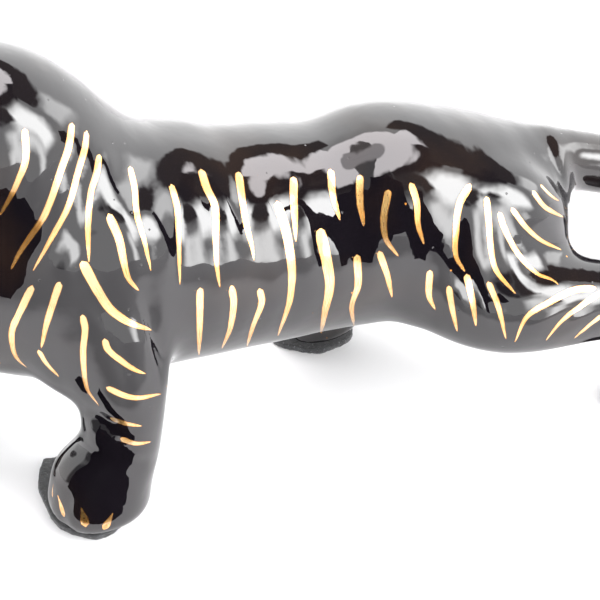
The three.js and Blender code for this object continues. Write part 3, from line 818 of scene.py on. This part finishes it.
# Other folds and muscles, in the photograph's pixels: half width and height in mm, then the line
MUSCLES = {
    "neck_right": (6.0, 0.5, [(109, 160), (108, 185), (104, 215)]),
    "shoulder_top": (6.0, 0.3, [(118, 186), (119, 210), (113, 240)]),
    "neck_left": (6.0, 0.5, [(8, 165), (4, 190)]),
    "shoulder_point": (8.0, 0.8, [(72, 270), (84, 246)]),
    "arm_upper": (7.0, 0.5, [(96, 318), (106, 330)]),
    "arm_front": (7.0, 0.5, [(66, 345), (78, 392)]),
    "wrist_hollow": (11.0, -1.6, [(96, 418), (122, 444)]),
}
WOBBLE_SEED = 3
WOBBLE_WAVES = 26
WOBBLE_LENGTHS = (12.0, 34.0)
WOBBLE_HEIGHT = 0.12


def folds_between(lines):
    """Ridges half way between neighbouring stripes: half width, height, points."""
    folds = []
    for steepness, names in FOLD_ROWS:
        row = [part_way(lines[name], np.linspace(0, 1, FOLD_POINTS)) for name in names]
        for left, right in zip(row[:-1], row[1:]):
            apart = float(np.median(np.linalg.norm(left - right, axis=1)))
            half_width = min(apart / 2, FOLD_WIDTH_LIMIT)
            folds.append((half_width, steepness * half_width, (left + right) / 2))
    return folds


def nearest_on_stroke(points, line, margin):
    """For the points near a line: which they are, their place sideways of it and past its ends,
    and their share along it."""
    low, high = line.min(0) - margin, line.max(0) + margin
    chosen = np.flatnonzero(((points > low) & (points < high)).all(1))
    p = points[chosen]
    best = np.full(len(p), np.inf)
    share = np.zeros(len(p))
    past = np.zeros(len(p))
    side = np.zeros((len(p), 3))
    last = len(line) - 2
    for i, (a, b) in enumerate(zip(line[:-1], line[1:])):
        along = b - a
        length = np.sqrt(along @ along)
        free = (p - a) @ along / length**2
        t = np.clip(free, 0, 1)
        offset = p - a - t[:, None] * along
        distance = (offset * offset).sum(-1)
        closer = distance < best
        best[closer] = distance[closer]
        share[closer] = (i + t[closer]) / (len(line) - 1)
        beyond = np.maximum(-free, 0) * (i == 0) + np.maximum(free - 1, 0) * (i == last)
        past[closer] = beyond[closer] * length
        side[closer] = np.cross(along / length, offset[closer])
    return chosen, side, past, share


# The glaze's paint: how far past a stroke's edge its offset is noted, what is noted far from any
# stroke, and the distances at which two strokes need channels of their own or are compared at all
STROKE_MARGIN = 3.0
FAR_OFFSET = 8.0
FAR_HALF_WIDTH = -5.0
CHANNELS = 3
CHANNEL_GAP = 7.5
NEARBY = 9


def share_out(strokes):
    """Gives strokes that lie close together different channels, so that their edges stay apart."""
    chosen = []
    for index, (width, _, line) in enumerate(strokes):
        low, high = line.min(0) - NEARBY, line.max(0) + NEARBY
        gaps = [np.inf] * CHANNELS
        for channel, (other_width, _, other) in zip(chosen, strokes[:index]):
            if (other.min(0) <= high).all() and (other.max(0) >= low).all():
                apart = np.sqrt(((line[:, None] - other) ** 2).sum(-1)).min() - width - other_width
                gaps[channel] = min(gaps[channel], apart)
        free = [channel for channel in range(CHANNELS) if gaps[channel] > CHANNEL_GAP]
        chosen.append(free[0] if free else int(np.argmax(gaps)))
    return chosen


def wobble(points):
    """The slight unevenness of a cast and glazed surface, as many crossing waves."""
    rng = np.random.default_rng(WOBBLE_SEED)
    total = np.zeros(len(points))
    for _ in range(WOBBLE_WAVES):
        direction = rng.normal(size=3)
        direction /= np.linalg.norm(direction)
        length = rng.uniform(*WOBBLE_LENGTHS)
        size = length / WOBBLE_LENGTHS[1]
        total += size * np.sin(points @ direction * 2 * np.pi / length + rng.uniform(0, 2 * np.pi))
    return WOBBLE_HEIGHT * total / math.sqrt(WOBBLE_WAVES / 2)


def rounded(distance, half_width):
    """The profile of a soft ridge, from 1 on its line to 0 at its edge."""
    return np.cos(np.clip(distance / half_width, 0, 1) * np.pi / 2) ** 2


def bell(distance, half_width):
    return np.exp(-((distance / half_width) ** 2))


def along_rows(share, rows):
    """The value at a share of the length, from rows of share and value."""
    shares, values = np.array(rows).T
    return np.interp(share, shares, values)


def fold_fade(share):
    return along_rows(share, FOLD_FADE)


def stroke_fade(share):
    return along_rows(share, STROKE_FADE)


def furrow_fade(share):
    return np.sqrt(np.sin(np.pi * np.clip(share, *FURROW_ENDS)))


def press(depth, vertices, line, half_width, height, profile, fade, reach):
    """Presses a line into the surface, or raises it where the height is below zero."""
    chosen, side, past, share = nearest_on_stroke(vertices, line, reach)
    distance = np.hypot(np.linalg.norm(side, axis=1), past)
    depth[chosen] += height * profile(distance, half_width) * fade(share)


def paint(strokes, vertices, normals):
    """The strokes' place on the surface, for the glaze: in each channel the offset from the nearest
    stroke's middle line and its half width, and the share of the way along the stroke."""
    offset = np.full((CHANNELS, len(vertices)), FAR_OFFSET)
    half_width = np.full(offset.shape, FAR_HALF_WIDTH)
    gap = np.full(offset.shape, np.inf)
    share_along = np.zeros(len(vertices))
    for channel, (width, profile, line) in zip(share_out(strokes), strokes):
        chosen, side, past, share = nearest_on_stroke(vertices, line, STRIPE_REACH)
        sideways = np.linalg.norm(side, axis=1)
        here = BRUSH_WIDTH * width * along_rows(share, profile)
        here = np.where(past < here, np.sqrt(np.maximum(here**2 - past**2, 0)), here - past)
        sign = np.where((side * normals[chosen]).sum(1) > 0, 1.0, -1.0)
        closer = (sideways - here < gap[channel, chosen]) & (sideways < here + STROKE_MARGIN)
        closer &= past < STROKE_MARGIN
        target = chosen[closer]
        gap[channel, target] = (sideways - here)[closer]
        offset[channel, target] = (sideways * sign)[closer]
        half_width[channel, target] = here[closer]
        share_along[target] = share[closer]
    attributes = {"stripe_share": share_along}
    for channel in range(CHANNELS):
        attributes[f"stripe_offset_{channel}"] = offset[channel]
        attributes[f"stripe_width_{channel}"] = half_width[channel]
    return attributes


def press_all(strokes, lines, vertices):
    """How far each vertex is pressed in by the strokes, folds, muscles, unevenness and furrows."""
    depth = np.zeros(len(vertices))
    for width, _, line in strokes:
        valley = STRIPE_VALLEY_DEPTH * min(width / FULL_VALLEY_STROKE, 1.0)
        press(depth, vertices, line, STRIPE_VALLEY_WIDTH, valley, bell, stroke_fade, STRIPE_REACH)
    for mirror in (1, MIRROR):
        for half_width, height, line in folds_between(lines):
            reach = half_width + RIDGE_MARGIN
            press(depth, vertices, line * mirror, half_width, -height, rounded, fold_fade, reach)
    for (half_width, height, _), seen in zip(MUSCLES.values(), cast_together(MUSCLES.values())):
        reach = half_width + RIDGE_MARGIN
        for line in (seen, seen * MIRROR):
            press(depth, vertices, line, half_width, -height, rounded, np.ones_like, reach)
    depth += wobble(vertices)
    seen = cast_together(FURROWS.values())
    for furrows in (seen, settle_together([line * MIRROR for line in seen])):
        for (width, height, _), line in zip(FURROWS.values(), furrows):
            press(depth, vertices, line, width, height, bell, furrow_fade, FURROW_REACH * width)
    return depth


# Meshes in the frame

MILLIMETRE = 0.001


def angles_round(count):
    return np.linspace(0, 2 * math.pi, count, endpoint=False)


def pad_edge(plan, angle, share=1.0):
    """The hand-cut edge of a pad, or a smaller ring inside it: x and y for each angle round it."""
    leg, cut, seed = plan
    waves = (size * np.sin(count * angle + shift * seed) for count, size, shift in EDGE_WAVES)
    ragged = EDGE_WAVE_HEIGHT * sum(waves)
    reach = np.where(np.sin(angle) > 0, cut["outward"], cut["inward"])
    ahead = (cut["half_length"] + ragged) * np.cos(angle)
    outward = np.maximum((reach + ragged) * np.sin(angle), -cut["inward_cut"])
    x = leg["paw"] + cut["back"] + share * ahead
    y = leg["side"] * (leg["spread"] + cut["out"] + share * outward)
    return x, y


def frame_shift():
    """Where the part's own origin lies in the frame, worked out from one pad's box."""
    low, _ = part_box("felt_pad_front_left")
    x, y = pad_edge(PADS["felt_pad_front_left"], angles_round(PAD_CUTS))
    return low[0] / MILLIMETRE - x.min(), low[1] / MILLIMETRE - y.min()


SHIFT_X, SHIFT_Y = frame_shift()
TO_FRAME = np.array([SHIFT_X, SHIFT_Y, 0.0])


def add_object(name, data):
    """A new object in the scene, made of a mesh or a camera."""
    made = bpy.data.objects.new(name, data)
    bpy.context.collection.objects.link(made)
    return made


def make_mesh_object(name, vertices, faces, material, attributes=None):
    mesh = bpy.data.meshes.new(name)
    mesh.from_pydata(((vertices + TO_FRAME) * MILLIMETRE).tolist(), [], faces.tolist())
    mesh.polygons.foreach_set("use_smooth", np.ones(len(mesh.polygons), bool))
    for key, values in (attributes or {}).items():
        attribute = mesh.attributes.new(key, "FLOAT", "POINT")
        attribute.data.foreach_set("value", values.astype(np.float32))
    mesh.materials.append(material)
    mesh.update()
    return add_object(name, mesh)


# Materials


class Nodes:
    """A short way to write the node tree of a material or a world."""

    def __init__(self, owner, coordinates):
        owner.use_nodes = True
        self.owner = owner
        self.tree = owner.node_tree
        self.place = self.add("ShaderNodeTexCoord").outputs[coordinates]

    def feed(self, socket, source):
        """Links an input to another node's output, or gives it a value."""
        if hasattr(source, "is_output"):
            self.tree.links.new(source, socket)
        else:
            socket.default_value = source

    def surface(self, name, source):
        self.feed(self.tree.nodes["Principled BSDF"].inputs[name], source)

    def add(self, kind, inputs=(), **settings):
        """A new node, with its settings and what its inputs are linked to or hold."""
        node = self.tree.nodes.new(kind)
        for key, value in settings.items():
            setattr(node, key, value)
        for key, source in dict(inputs).items():
            self.feed(node.inputs[key], source)
        return node

    def math(self, operation, *values):
        return self.add("ShaderNodeMath", enumerate(values), operation=operation).outputs[0]

    def attribute(self, name):
        return self.add("ShaderNodeAttribute", attribute_name=name).outputs["Fac"]

    def noise(self, scale, detail, roughness=0.5, place=None):
        inputs = {"Vector": place or self.place, "Scale": scale, "Detail": detail}
        return self.add("ShaderNodeTexNoise", {**inputs, "Roughness": roughness}).outputs["Fac"]

    def ramp(self, value, low, high, start=0.0, end=1.0):
        inputs = {"Value": value, "From Min": low, "From Max": high, "To Min": start, "To Max": end}
        return self.add("ShaderNodeMapRange", inputs, interpolation_type="SMOOTHSTEP").outputs["Result"]

    def spots(self, scale, channel, rarity, edge, middle):
        """Small round spots, in those cells of a random pattern whose own colour is high."""
        pattern = self.add("ShaderNodeTexVoronoi", {"Vector": self.place, "Scale": scale})
        colour = self.add("ShaderNodeSeparateColor", {0: pattern.outputs["Color"]})
        chosen = self.math("GREATER_THAN", colour.outputs[channel], rarity)
        return self.math("MULTIPLY", self.ramp(pattern.outputs["Distance"], edge, middle), chosen)

    def mix(self, factor, a, b, kind="VALUE", label=""):
        """A blend of two numbers or, with the kind RGBA, of two colours."""
        data_type = "FLOAT" if kind == "VALUE" else kind
        node = self.add("ShaderNodeMix", {"Factor": factor}, data_type=data_type, label=label)
        sockets = [socket for socket in node.inputs if socket.type == kind and socket.name != "Factor"]
        for socket, source in zip(sockets, (a, b)):
            self.feed(socket, source)
        return next(socket for socket in node.outputs if socket.type == kind)

    def mix_colour(self, factor, a, b, label=""):
        return self.mix(factor, a, b, "RGBA", label)

    def bump(self, height, distance, before=None):
        inputs = {"Strength": 1.0, "Distance": distance, "Height": height}
        if before is not None:
            inputs["Normal"] = before
        return self.add("ShaderNodeBump", inputs).outputs["Normal"]


def new_material(name):
    return Nodes(bpy.data.materials.new(name), "Object")


BLACK_GLAZE = (0.0035, 0.0028, 0.004, 1)
BROWN_GLAZE = (0.010, 0.006, 0.005, 1)
GOLD = (0.80, 0.52, 0.20, 1)
THIN_GOLD = (0.50, 0.20, 0.03, 1)

# The paint: how far a stroke's edge wanders in mm, how fine its streaks are across and along it, how
# much thinner it gets to its end, and the share of its shine that a worn spot keeps
EDGE_WANDER = 0.3
STREAKS_ACROSS = 2.6
STREAKS_ALONG = 3.0
THINNER_AT_END = 0.25
WORN_SHINE = 0.35


def make_glaze():
    """Glossy black glaze with gold lustre brushed on where the stripes are. The lustre is a warm,
    matt metal film under a pale shine, so it looks cream in the light and orange where it is dark."""
    n = new_material("black_glaze_and_gold")
    share = n.attribute("stripe_share")
    either_way = n.math("SUBTRACT", n.noise(scale=420, detail=3), 0.5)
    wander = n.math("MULTIPLY", either_way, EDGE_WANDER)
    edges = []
    for channel in range(CHANNELS):
        offset = n.attribute(f"stripe_offset_{channel}")
        half_width = n.attribute(f"stripe_width_{channel}")
        edges.append(n.math("SUBTRACT", n.math("ABSOLUTE", offset), half_width))
    nearest = edges[0]
    for edge in edges[1:]:
        nearest = n.math("MINIMUM", nearest, edge)
    stroke = n.ramp(n.math("ADD", nearest, wander), low=0.08, high=-0.10)
    speck = n.spots(scale=260, channel=0, rarity=0.972, edge=0.14, middle=0.08)
    gold = n.math("MAXIMUM", stroke, speck)

    across = n.math("MULTIPLY", nearest, STREAKS_ACROSS)
    along = n.math("MULTIPLY", share, STREAKS_ALONG)
    streaks_at = n.add("ShaderNodeCombineXYZ", {0: across, 1: along}).outputs[0]
    streaks = n.noise(scale=1.6, detail=3, place=streaks_at)
    thinness = n.math("ADD", streaks, n.math("MULTIPLY", share, THINNER_AT_END))
    thin = n.ramp(thinness, low=0.5, high=0.85)
    rim = n.ramp(nearest, low=-0.35, high=-0.05)
    worn = n.math("MAXIMUM", thin, rim)
    gold_colour = n.mix_colour(worn, GOLD, THIN_GOLD)
    n.surface("Coat Weight", n.math("MULTIPLY", gold, n.mix(worn, 1.0, WORN_SHINE)))
    n.surface("Coat IOR", 2.3)
    n.surface("Coat Roughness", 0.12)
    clouds = n.ramp(n.noise(scale=28, detail=4), low=0.45, high=0.75)
    glaze_colour = n.mix_colour(clouds, BLACK_GLAZE, BROWN_GLAZE)
    n.surface("Base Color", n.mix_colour(gold, glaze_colour, gold_colour))
    n.surface("Metallic", gold)

    greasy = n.noise(scale=55, detail=5, roughness=0.6)
    smudges = n.ramp(greasy, low=0.5, high=0.8, start=0.03, end=0.075)
    gold_roughness = n.ramp(streaks, low=0.3, high=0.8, start=0.25, end=0.4)
    n.surface("Roughness", n.mix(gold, smudges, gold_roughness))
    n.surface("IOR", 1.6)

    pinholes = n.spots(scale=330, channel=1, rarity=0.95, edge=0.16, middle=0.05)
    flow = n.bump(n.noise(scale=95, detail=2), distance=0.00016)
    pitted = n.bump(pinholes, distance=-0.00015, before=flow)
    brushed = n.bump(n.math("MULTIPLY", streaks, stroke), distance=0.00006, before=pitted)
    n.surface("Normal", brushed)
    return n.owner


FELT_DARK = (0.004, 0.004, 0.005, 1)
FELT_LIGHT = (0.032, 0.033, 0.036, 1)
FELT_FLECK = (0.2, 0.2, 0.21, 1)


def make_felt():
    """Dark grey pressed felt: matted fibres, with pale flecks."""
    n = new_material("pressed_felt")
    fibres = n.noise(scale=1500, detail=6, roughness=0.7)
    clumps = n.noise(scale=420, detail=4, roughness=0.6)
    matted = n.math("MULTIPLY", n.math("ADD", fibres, clumps), 0.5)
    colour = n.mix_colour(n.ramp(matted, low=0.38, high=0.62), FELT_DARK, FELT_LIGHT)
    flecks = n.ramp(n.noise(scale=1100, detail=3, roughness=0.6), low=0.62, high=0.70)
    n.surface("Base Color", n.mix_colour(flecks, colour, FELT_FLECK))
    n.surface("Roughness", 0.95)
    n.surface("Sheen Weight", 0.25)
    n.surface("Sheen Roughness", 0.6)
    n.surface("Normal", n.bump(matted, distance=0.0006))
    return n.owner


PAPER = ((0.86, 0.86, 0.87, 1), (0.9, 0.9, 0.91, 1))
# The floor's grey past a distance towards the camera's side, and the distances in metres over which the
# white turns to it
FLOOR_GREY_TOWARDS_CAMERA = (0.45, 0.45, 0.455, 1)
FLOOR_GREYING_DISTANCES = (0.2, 0.32)


def make_floor_material():
    """White paper that turns greyer beyond a distance towards the camera's side."""
    n = new_material("white_paper")
    c, s = cosine_and_sine(CAMERA_AZIMUTH)
    towards = n.add("ShaderNodeVectorMath", {0: n.place, 1: (s, -c, 0)}, operation="DOT_PRODUCT")
    # Beyond a distance towards the camera's side the floor turns greyer, so the glaze reflects grey there
    greyer_share = n.ramp(towards.outputs["Value"], *FLOOR_GREYING_DISTANCES)
    paper = n.mix_colour(n.noise(scale=3, detail=2), *PAPER)
    n.surface("Base Color", n.mix_colour(greyer_share, paper, FLOOR_GREY_TOWARDS_CAMERA))
    n.surface("Roughness", 0.6)
    return n.owner


# The pieces


# The face within this distance of the skull's middle, and the soles up to this height, stay as they are
HEAD_KEPT_SHARP = 48.0
SOLE_FADE = 3.0
EASE_ROUNDS = 4
EASE_SHARE = 0.5
OUTER_BAND = 9.0
BOX_CLEARANCE = 0.08


def ease(vertices, faces):
    """Evens out the grid's traces, except on the face and the soles."""
    free = np.linalg.norm(vertices - HEAD, axis=1) > HEAD_KEPT_SHARP
    free &= vertices[:, 2] > SOLE_HEIGHT + SOLE_FADE
    for _ in range(EASE_ROUNDS):
        step = neighbour_mean(vertices, faces) - vertices
        vertices = vertices + EASE_SHARE * free[:, None] * step
    return vertices


def keep_in_box(vertices):
    """Draws in the outermost few millimetres, so that no fold stands out of the part's own box."""
    vertices = vertices.copy()
    for axis in range(3):
        for sign, limit in ((1, cad_high[axis]), (-1, cad_low[axis])):
            wall = sign * (limit / MILLIMETRE - TO_FRAME[axis]) - BOX_CLEARANCE
            value = sign * vertices[:, axis]
            start = wall - OUTER_BAND
            if value.max() > wall:
                squeeze = OUTER_BAND / (value.max() - start)
                vertices[:, axis] = sign * np.where(value > start, start + (value - start) * squeeze, value)
    return vertices


def make_tiger():
    vertices, faces, normals = make_fine_surface()
    lines = dict(zip(STRIPES, cast_together(STRIPES.values())))
    strokes = all_strokes(lines)
    attributes = paint(strokes, vertices, normals)
    depth = press_all(strokes, lines, vertices)
    depth *= np.clip((vertices[:, 2] - SOLE_HEIGHT) / SOLE_FADE, 0, 1)
    pressed = keep_in_box(ease(vertices - normals * depth[:, None], faces))
    return make_mesh_object("tiger_glazed", pressed, faces, make_glaze(), attributes)


PAD_SPOKES = 150

# Rings on a pad's top and underside, as shares of its outline, and those round its cut edge, from the
# top down: share of its outline and of its thickness
PAD_RINGS = 14
PAD_RINGS_FROM = 0.06
PAD_RINGS_TO = 0.95
PAD_EDGE_RINGS = [(0.985, 0.93), (0.995, 0.72), (0.99, 0.45), (0.995, 0.2), (0.985, 0.05)]
EDGE_STARTS_AT = 0.96

# Torn fibres: nicks and fuzz as shares of the outline, and roughness in mm. The top, which is what
# lies higher than a level, is worn lower by a little
NICKS = 48
NICK_DEPTH = 0.028
FUZZ_INWARD = -0.009
FUZZ_OUTWARD = 0.003
INNER_FUZZ_SHARE = 0.4
FELT_ROUGHNESS = 0.07
TOP_WORN_BY = 0.12
TOP_STARTS_AT = 2


def pad_ring(plan, share, height, nicks, rng):
    """A torn ring of vertices, at a share of the pad's outline and at a height."""
    at_edge = share > EDGE_STARTS_AT
    fuzz = rng.uniform(FUZZ_INWARD, FUZZ_OUTWARD if at_edge else 0.0, PAD_SPOKES)
    fuzz *= 1 if at_edge else INNER_FUZZ_SHARE
    x, y = pad_edge(plan, angles_round(PAD_SPOKES), share - share * nicks + fuzz)
    lift = rng.normal(0, FELT_ROUGHNESS, PAD_SPOKES) * (0 < height)
    z = np.clip(height - TOP_WORN_BY * (height > TOP_STARTS_AT) + lift, 0, PAD_THICKNESS)
    return np.stack([x, y, z], 1)


def make_pad(name, plan, felt):
    """A felt pad with a torn, fibrous edge: rings of vertices over the top, down and under."""
    _, _, seed = plan
    rng = np.random.default_rng(int(seed * 10))
    nicks = rng.uniform(0, NICK_DEPTH, NICKS)
    nicks_at = np.linspace(0, 2 * math.pi, NICKS + 1)
    nicks = np.interp(angles_round(PAD_SPOKES), nicks_at, np.append(nicks, nicks[0]))
    inner = np.linspace(PAD_RINGS_FROM, PAD_RINGS_TO, PAD_RINGS)
    levels = [(share, PAD_THICKNESS) for share in inner]
    levels += [(share, PAD_THICKNESS * height) for share, height in PAD_EDGE_RINGS]
    levels += [(share, 0.0) for share in inner[::-1]]
    rings = [pad_ring(plan, share, height, nicks, rng) for share, height in levels]
    spoke = np.arange(PAD_SPOKES)
    following = np.roll(spoke, -1)
    band = np.stack([spoke, spoke + PAD_SPOKES, following + PAD_SPOKES, following], 1)
    faces = np.concatenate([band + ring * PAD_SPOKES for ring in range(len(rings) - 1)])
    piece = make_mesh_object(name + "_cut", np.concatenate(rings), faces, felt)
    close_disc(piece)
    return piece


def close_disc(piece):
    """Closes the small round openings in the middle of the top and the underside."""
    mesh = bmesh.new()
    mesh.from_mesh(piece.data)
    vertices = list(mesh.verts)
    mesh.faces.new(vertices[:PAD_SPOKES])
    mesh.faces.new(vertices[-PAD_SPOKES:][::-1])
    bmesh.ops.recalc_face_normals(mesh, faces=mesh.faces)
    for face in mesh.faces:
        face.smooth = True
    mesh.to_mesh(piece.data)
    mesh.free()


def declare_sheet(plan):
    """Works out the outline that the felt was cut to, in metres; nothing is done with it."""
    x, y = (MILLIMETRE * values for values in pad_edge(plan, angles_round(PAD_SPOKES)))


def make_pads():
    felt = make_felt()
    for name, plan in PADS.items():
        pad = make_pad(name, plan, felt)
        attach(pad, "root")
        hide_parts(name)
        declare_sheet(plan)


# The stage


FLOOR_HALF_WIDTH = 4.0


def make_floor():
    half = FLOOR_HALF_WIDTH
    mesh = bpy.data.meshes.new("floor")
    corners = [(-half, -half, 0), (half, -half, 0), (half, half, 0), (-half, half, 0)]
    mesh.from_pydata(corners, [], [(0, 1, 2, 3)])
    mesh.materials.append(make_floor_material())
    floor = add_object("floor", mesh)


# The studio: a white tent, and cards and lamps in it that the glaze reflects. Each is a window of
# directions seen from the tiger: azimuth and elevation of its middle, half its width and height,
# how soft its edge is, all in degrees, its brightness and its tint. Azimuth 0 is +X and 90 is +Y

TENT_BRIGHTNESS = 2.5
CARDS = [
    ("backdrop", 62, 20, 70, 34, 16, 3.3, (1, 1, 1)),
    ("far_left", -153, 20, 28, 25, 8, 0.4, (1, 1, 1)),
    ("ceiling_left", 180, 70, 80, 20, 6, 0.8, (1, 1, 1)),
    ("ceiling_right", -28, 55.5, 42, 7.5, 3, 0.12, (1, 0.85, 0.7)),
    ("ceiling_back", 20, 49, 40, 7, 3, 0.25, (1, 0.85, 0.7)),
    ("skylight", 0, 71.5, 100, 9.5, 3, 9, (1, 0.95, 0.97)),
    ("window", 24, 63, 20, 7, 3, 9, (1, 0.95, 0.97)),
    ("zenith", 0, 90, 180, 9, 4, 3.5, (1, 0.95, 0.97)),
    ("camera_side", -84, 50, 14, 14, 6, 0.15, (1, 0.95, 0.9)),
    ("key_lamp", -44, 33, 13, 15, 14, 17, (1, 1, 1)),
    ("haunch_lamp", -64, 12, 7, 16, 12, 12, (1, 1, 1)),
    ("ceiling_corner", -62, 46, 8, 9, 6, 0.3, (1, 0.9, 0.8)),
    ("side_lamp", -4, 30, 12, 9, 8, 8.0, (1, 1, 1)),
    ("left_lamp", -108, 16, 8, 10, 8, 12, (1, 1, 1)),
]


# Small black cards that stand upright close to the flank, the neck and the near front paw, and give
# the black patches that the glaze reflects there. The camera doesn't see them. For each: its pivot's
# x and y, its turn in degrees, and its corners as distance along the card and height

BLACK_CARDS = {
    "flank_card": (
        (153.2, -100.0),
        -40.0,
        [(-60, 84), (-42, 80), (-40, 99), (-21, 101), (-15, 66), (-8, 64), (-5, 84)]
        + [(14, 96), (8, 118), (-3, 150), (8, 195), (-30, 215), (-62, 190)],
    ),
    "neck_card": (
        (-76.8, -100.0),
        40.0,
        [(28, 80), (47, 83), (60, 99), (66, 112), (80, 121)]
        + [(82, 129), (72, 135), (58, 129), (43, 114), (34, 100)],
    ),
    "paw_card": (
        (3.2, -72.0),
        -20.0,
        [(-40, 20), (-24, 12), (-8, 8), (12, 4), (13, 20)]
        + [(7, 31), (-4, 40), (-15, 53), (-24, 56), (-36, 44)],
    ),
}
CARD_CLOTH = ((0.001, 0.001, 0.001, 1), (0.004, 0.004, 0.004, 1))


def make_card_cloth():
    n = new_material("black_card_cloth")
    n.surface("Base Color", n.mix_colour(n.noise(scale=900, detail=3), *CARD_CLOTH))
    n.surface("Roughness", 1.0)
    n.surface("IOR", 1.0)
    return n.owner


def make_black_cards():
    cloth = make_card_cloth()
    for name, ((pivot_x, pivot_y), turn, corners) in BLACK_CARDS.items():
        along, height = np.array(corners, float).T
        c, s = cosine_and_sine(turn)
        outline = np.stack([pivot_x + along * c, pivot_y + along * s, height], axis=1)
        card = make_mesh_object(name, outline, np.array([range(len(corners))]), cloth)
        card.visible_camera = False
        card.visible_shadow = False
        card.visible_diffuse = False


def make_lights():
    n = Nodes(bpy.data.worlds.new("studio"), "Generated")
    x, y, z = n.add("ShaderNodeSeparateXYZ", {0: n.place}).outputs
    elevation = n.math("DEGREES", n.math("ARCSINE", z))
    colour = (TENT_BRIGHTNESS, TENT_BRIGHTNESS, TENT_BRIGHTNESS, 1)
    for name, azimuth, middle, half_width, half_height, soft, brightness, tint in CARDS:
        c, s = cosine_and_sine(azimuth)
        ahead = n.math("ADD", n.math("MULTIPLY", x, c), n.math("MULTIPLY", y, s))
        aside = n.math("SUBTRACT", n.math("MULTIPLY", y, c), n.math("MULTIPLY", x, s))
        turn = n.math("DEGREES", n.math("ARCTAN2", aside, ahead))
        rise = n.math("SUBTRACT", elevation, middle)
        inside = []
        for angle, half in ((turn, half_width), (rise, half_height)):
            inside.append(n.ramp(n.math("ABSOLUTE", angle), half + soft / 2, half - soft / 2))
        card_colour = (*(brightness * part for part in tint), 1)
        colour = n.mix_colour(n.math("MULTIPLY", *inside), colour, card_colour, label=name)
    n.feed(n.tree.nodes["Background"].inputs["Color"], colour)
    bpy.context.scene.world = n.owner


def make_camera():
    _, _, back = camera_axes()
    data = bpy.data.cameras.new("camera")
    data.sensor_width = SENSOR_WIDTH
    data.lens = SENSOR_WIDTH * CAMERA_DISTANCE / (PIXEL * IMAGE_SIZE)
    data.clip_start = CLIP_START
    data.clip_end = CLIP_END
    camera = add_object("camera", data)
    camera.location = (CAMERA_TARGET + TO_FRAME + CAMERA_DISTANCE * back) * MILLIMETRE
    camera.rotation_mode = "QUATERNION"
    camera.rotation_quaternion = Vector(back.tolist()).to_track_quat("Z", "Y")
    bpy.context.scene.camera = camera


make_camera()
tiger_piece = make_tiger()
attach(tiger_piece, "root")
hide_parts("tiger")
make_pads()
make_floor()
make_lights()
make_black_cards()
bpy.context.scene.view_settings.view_transform = "Standard"
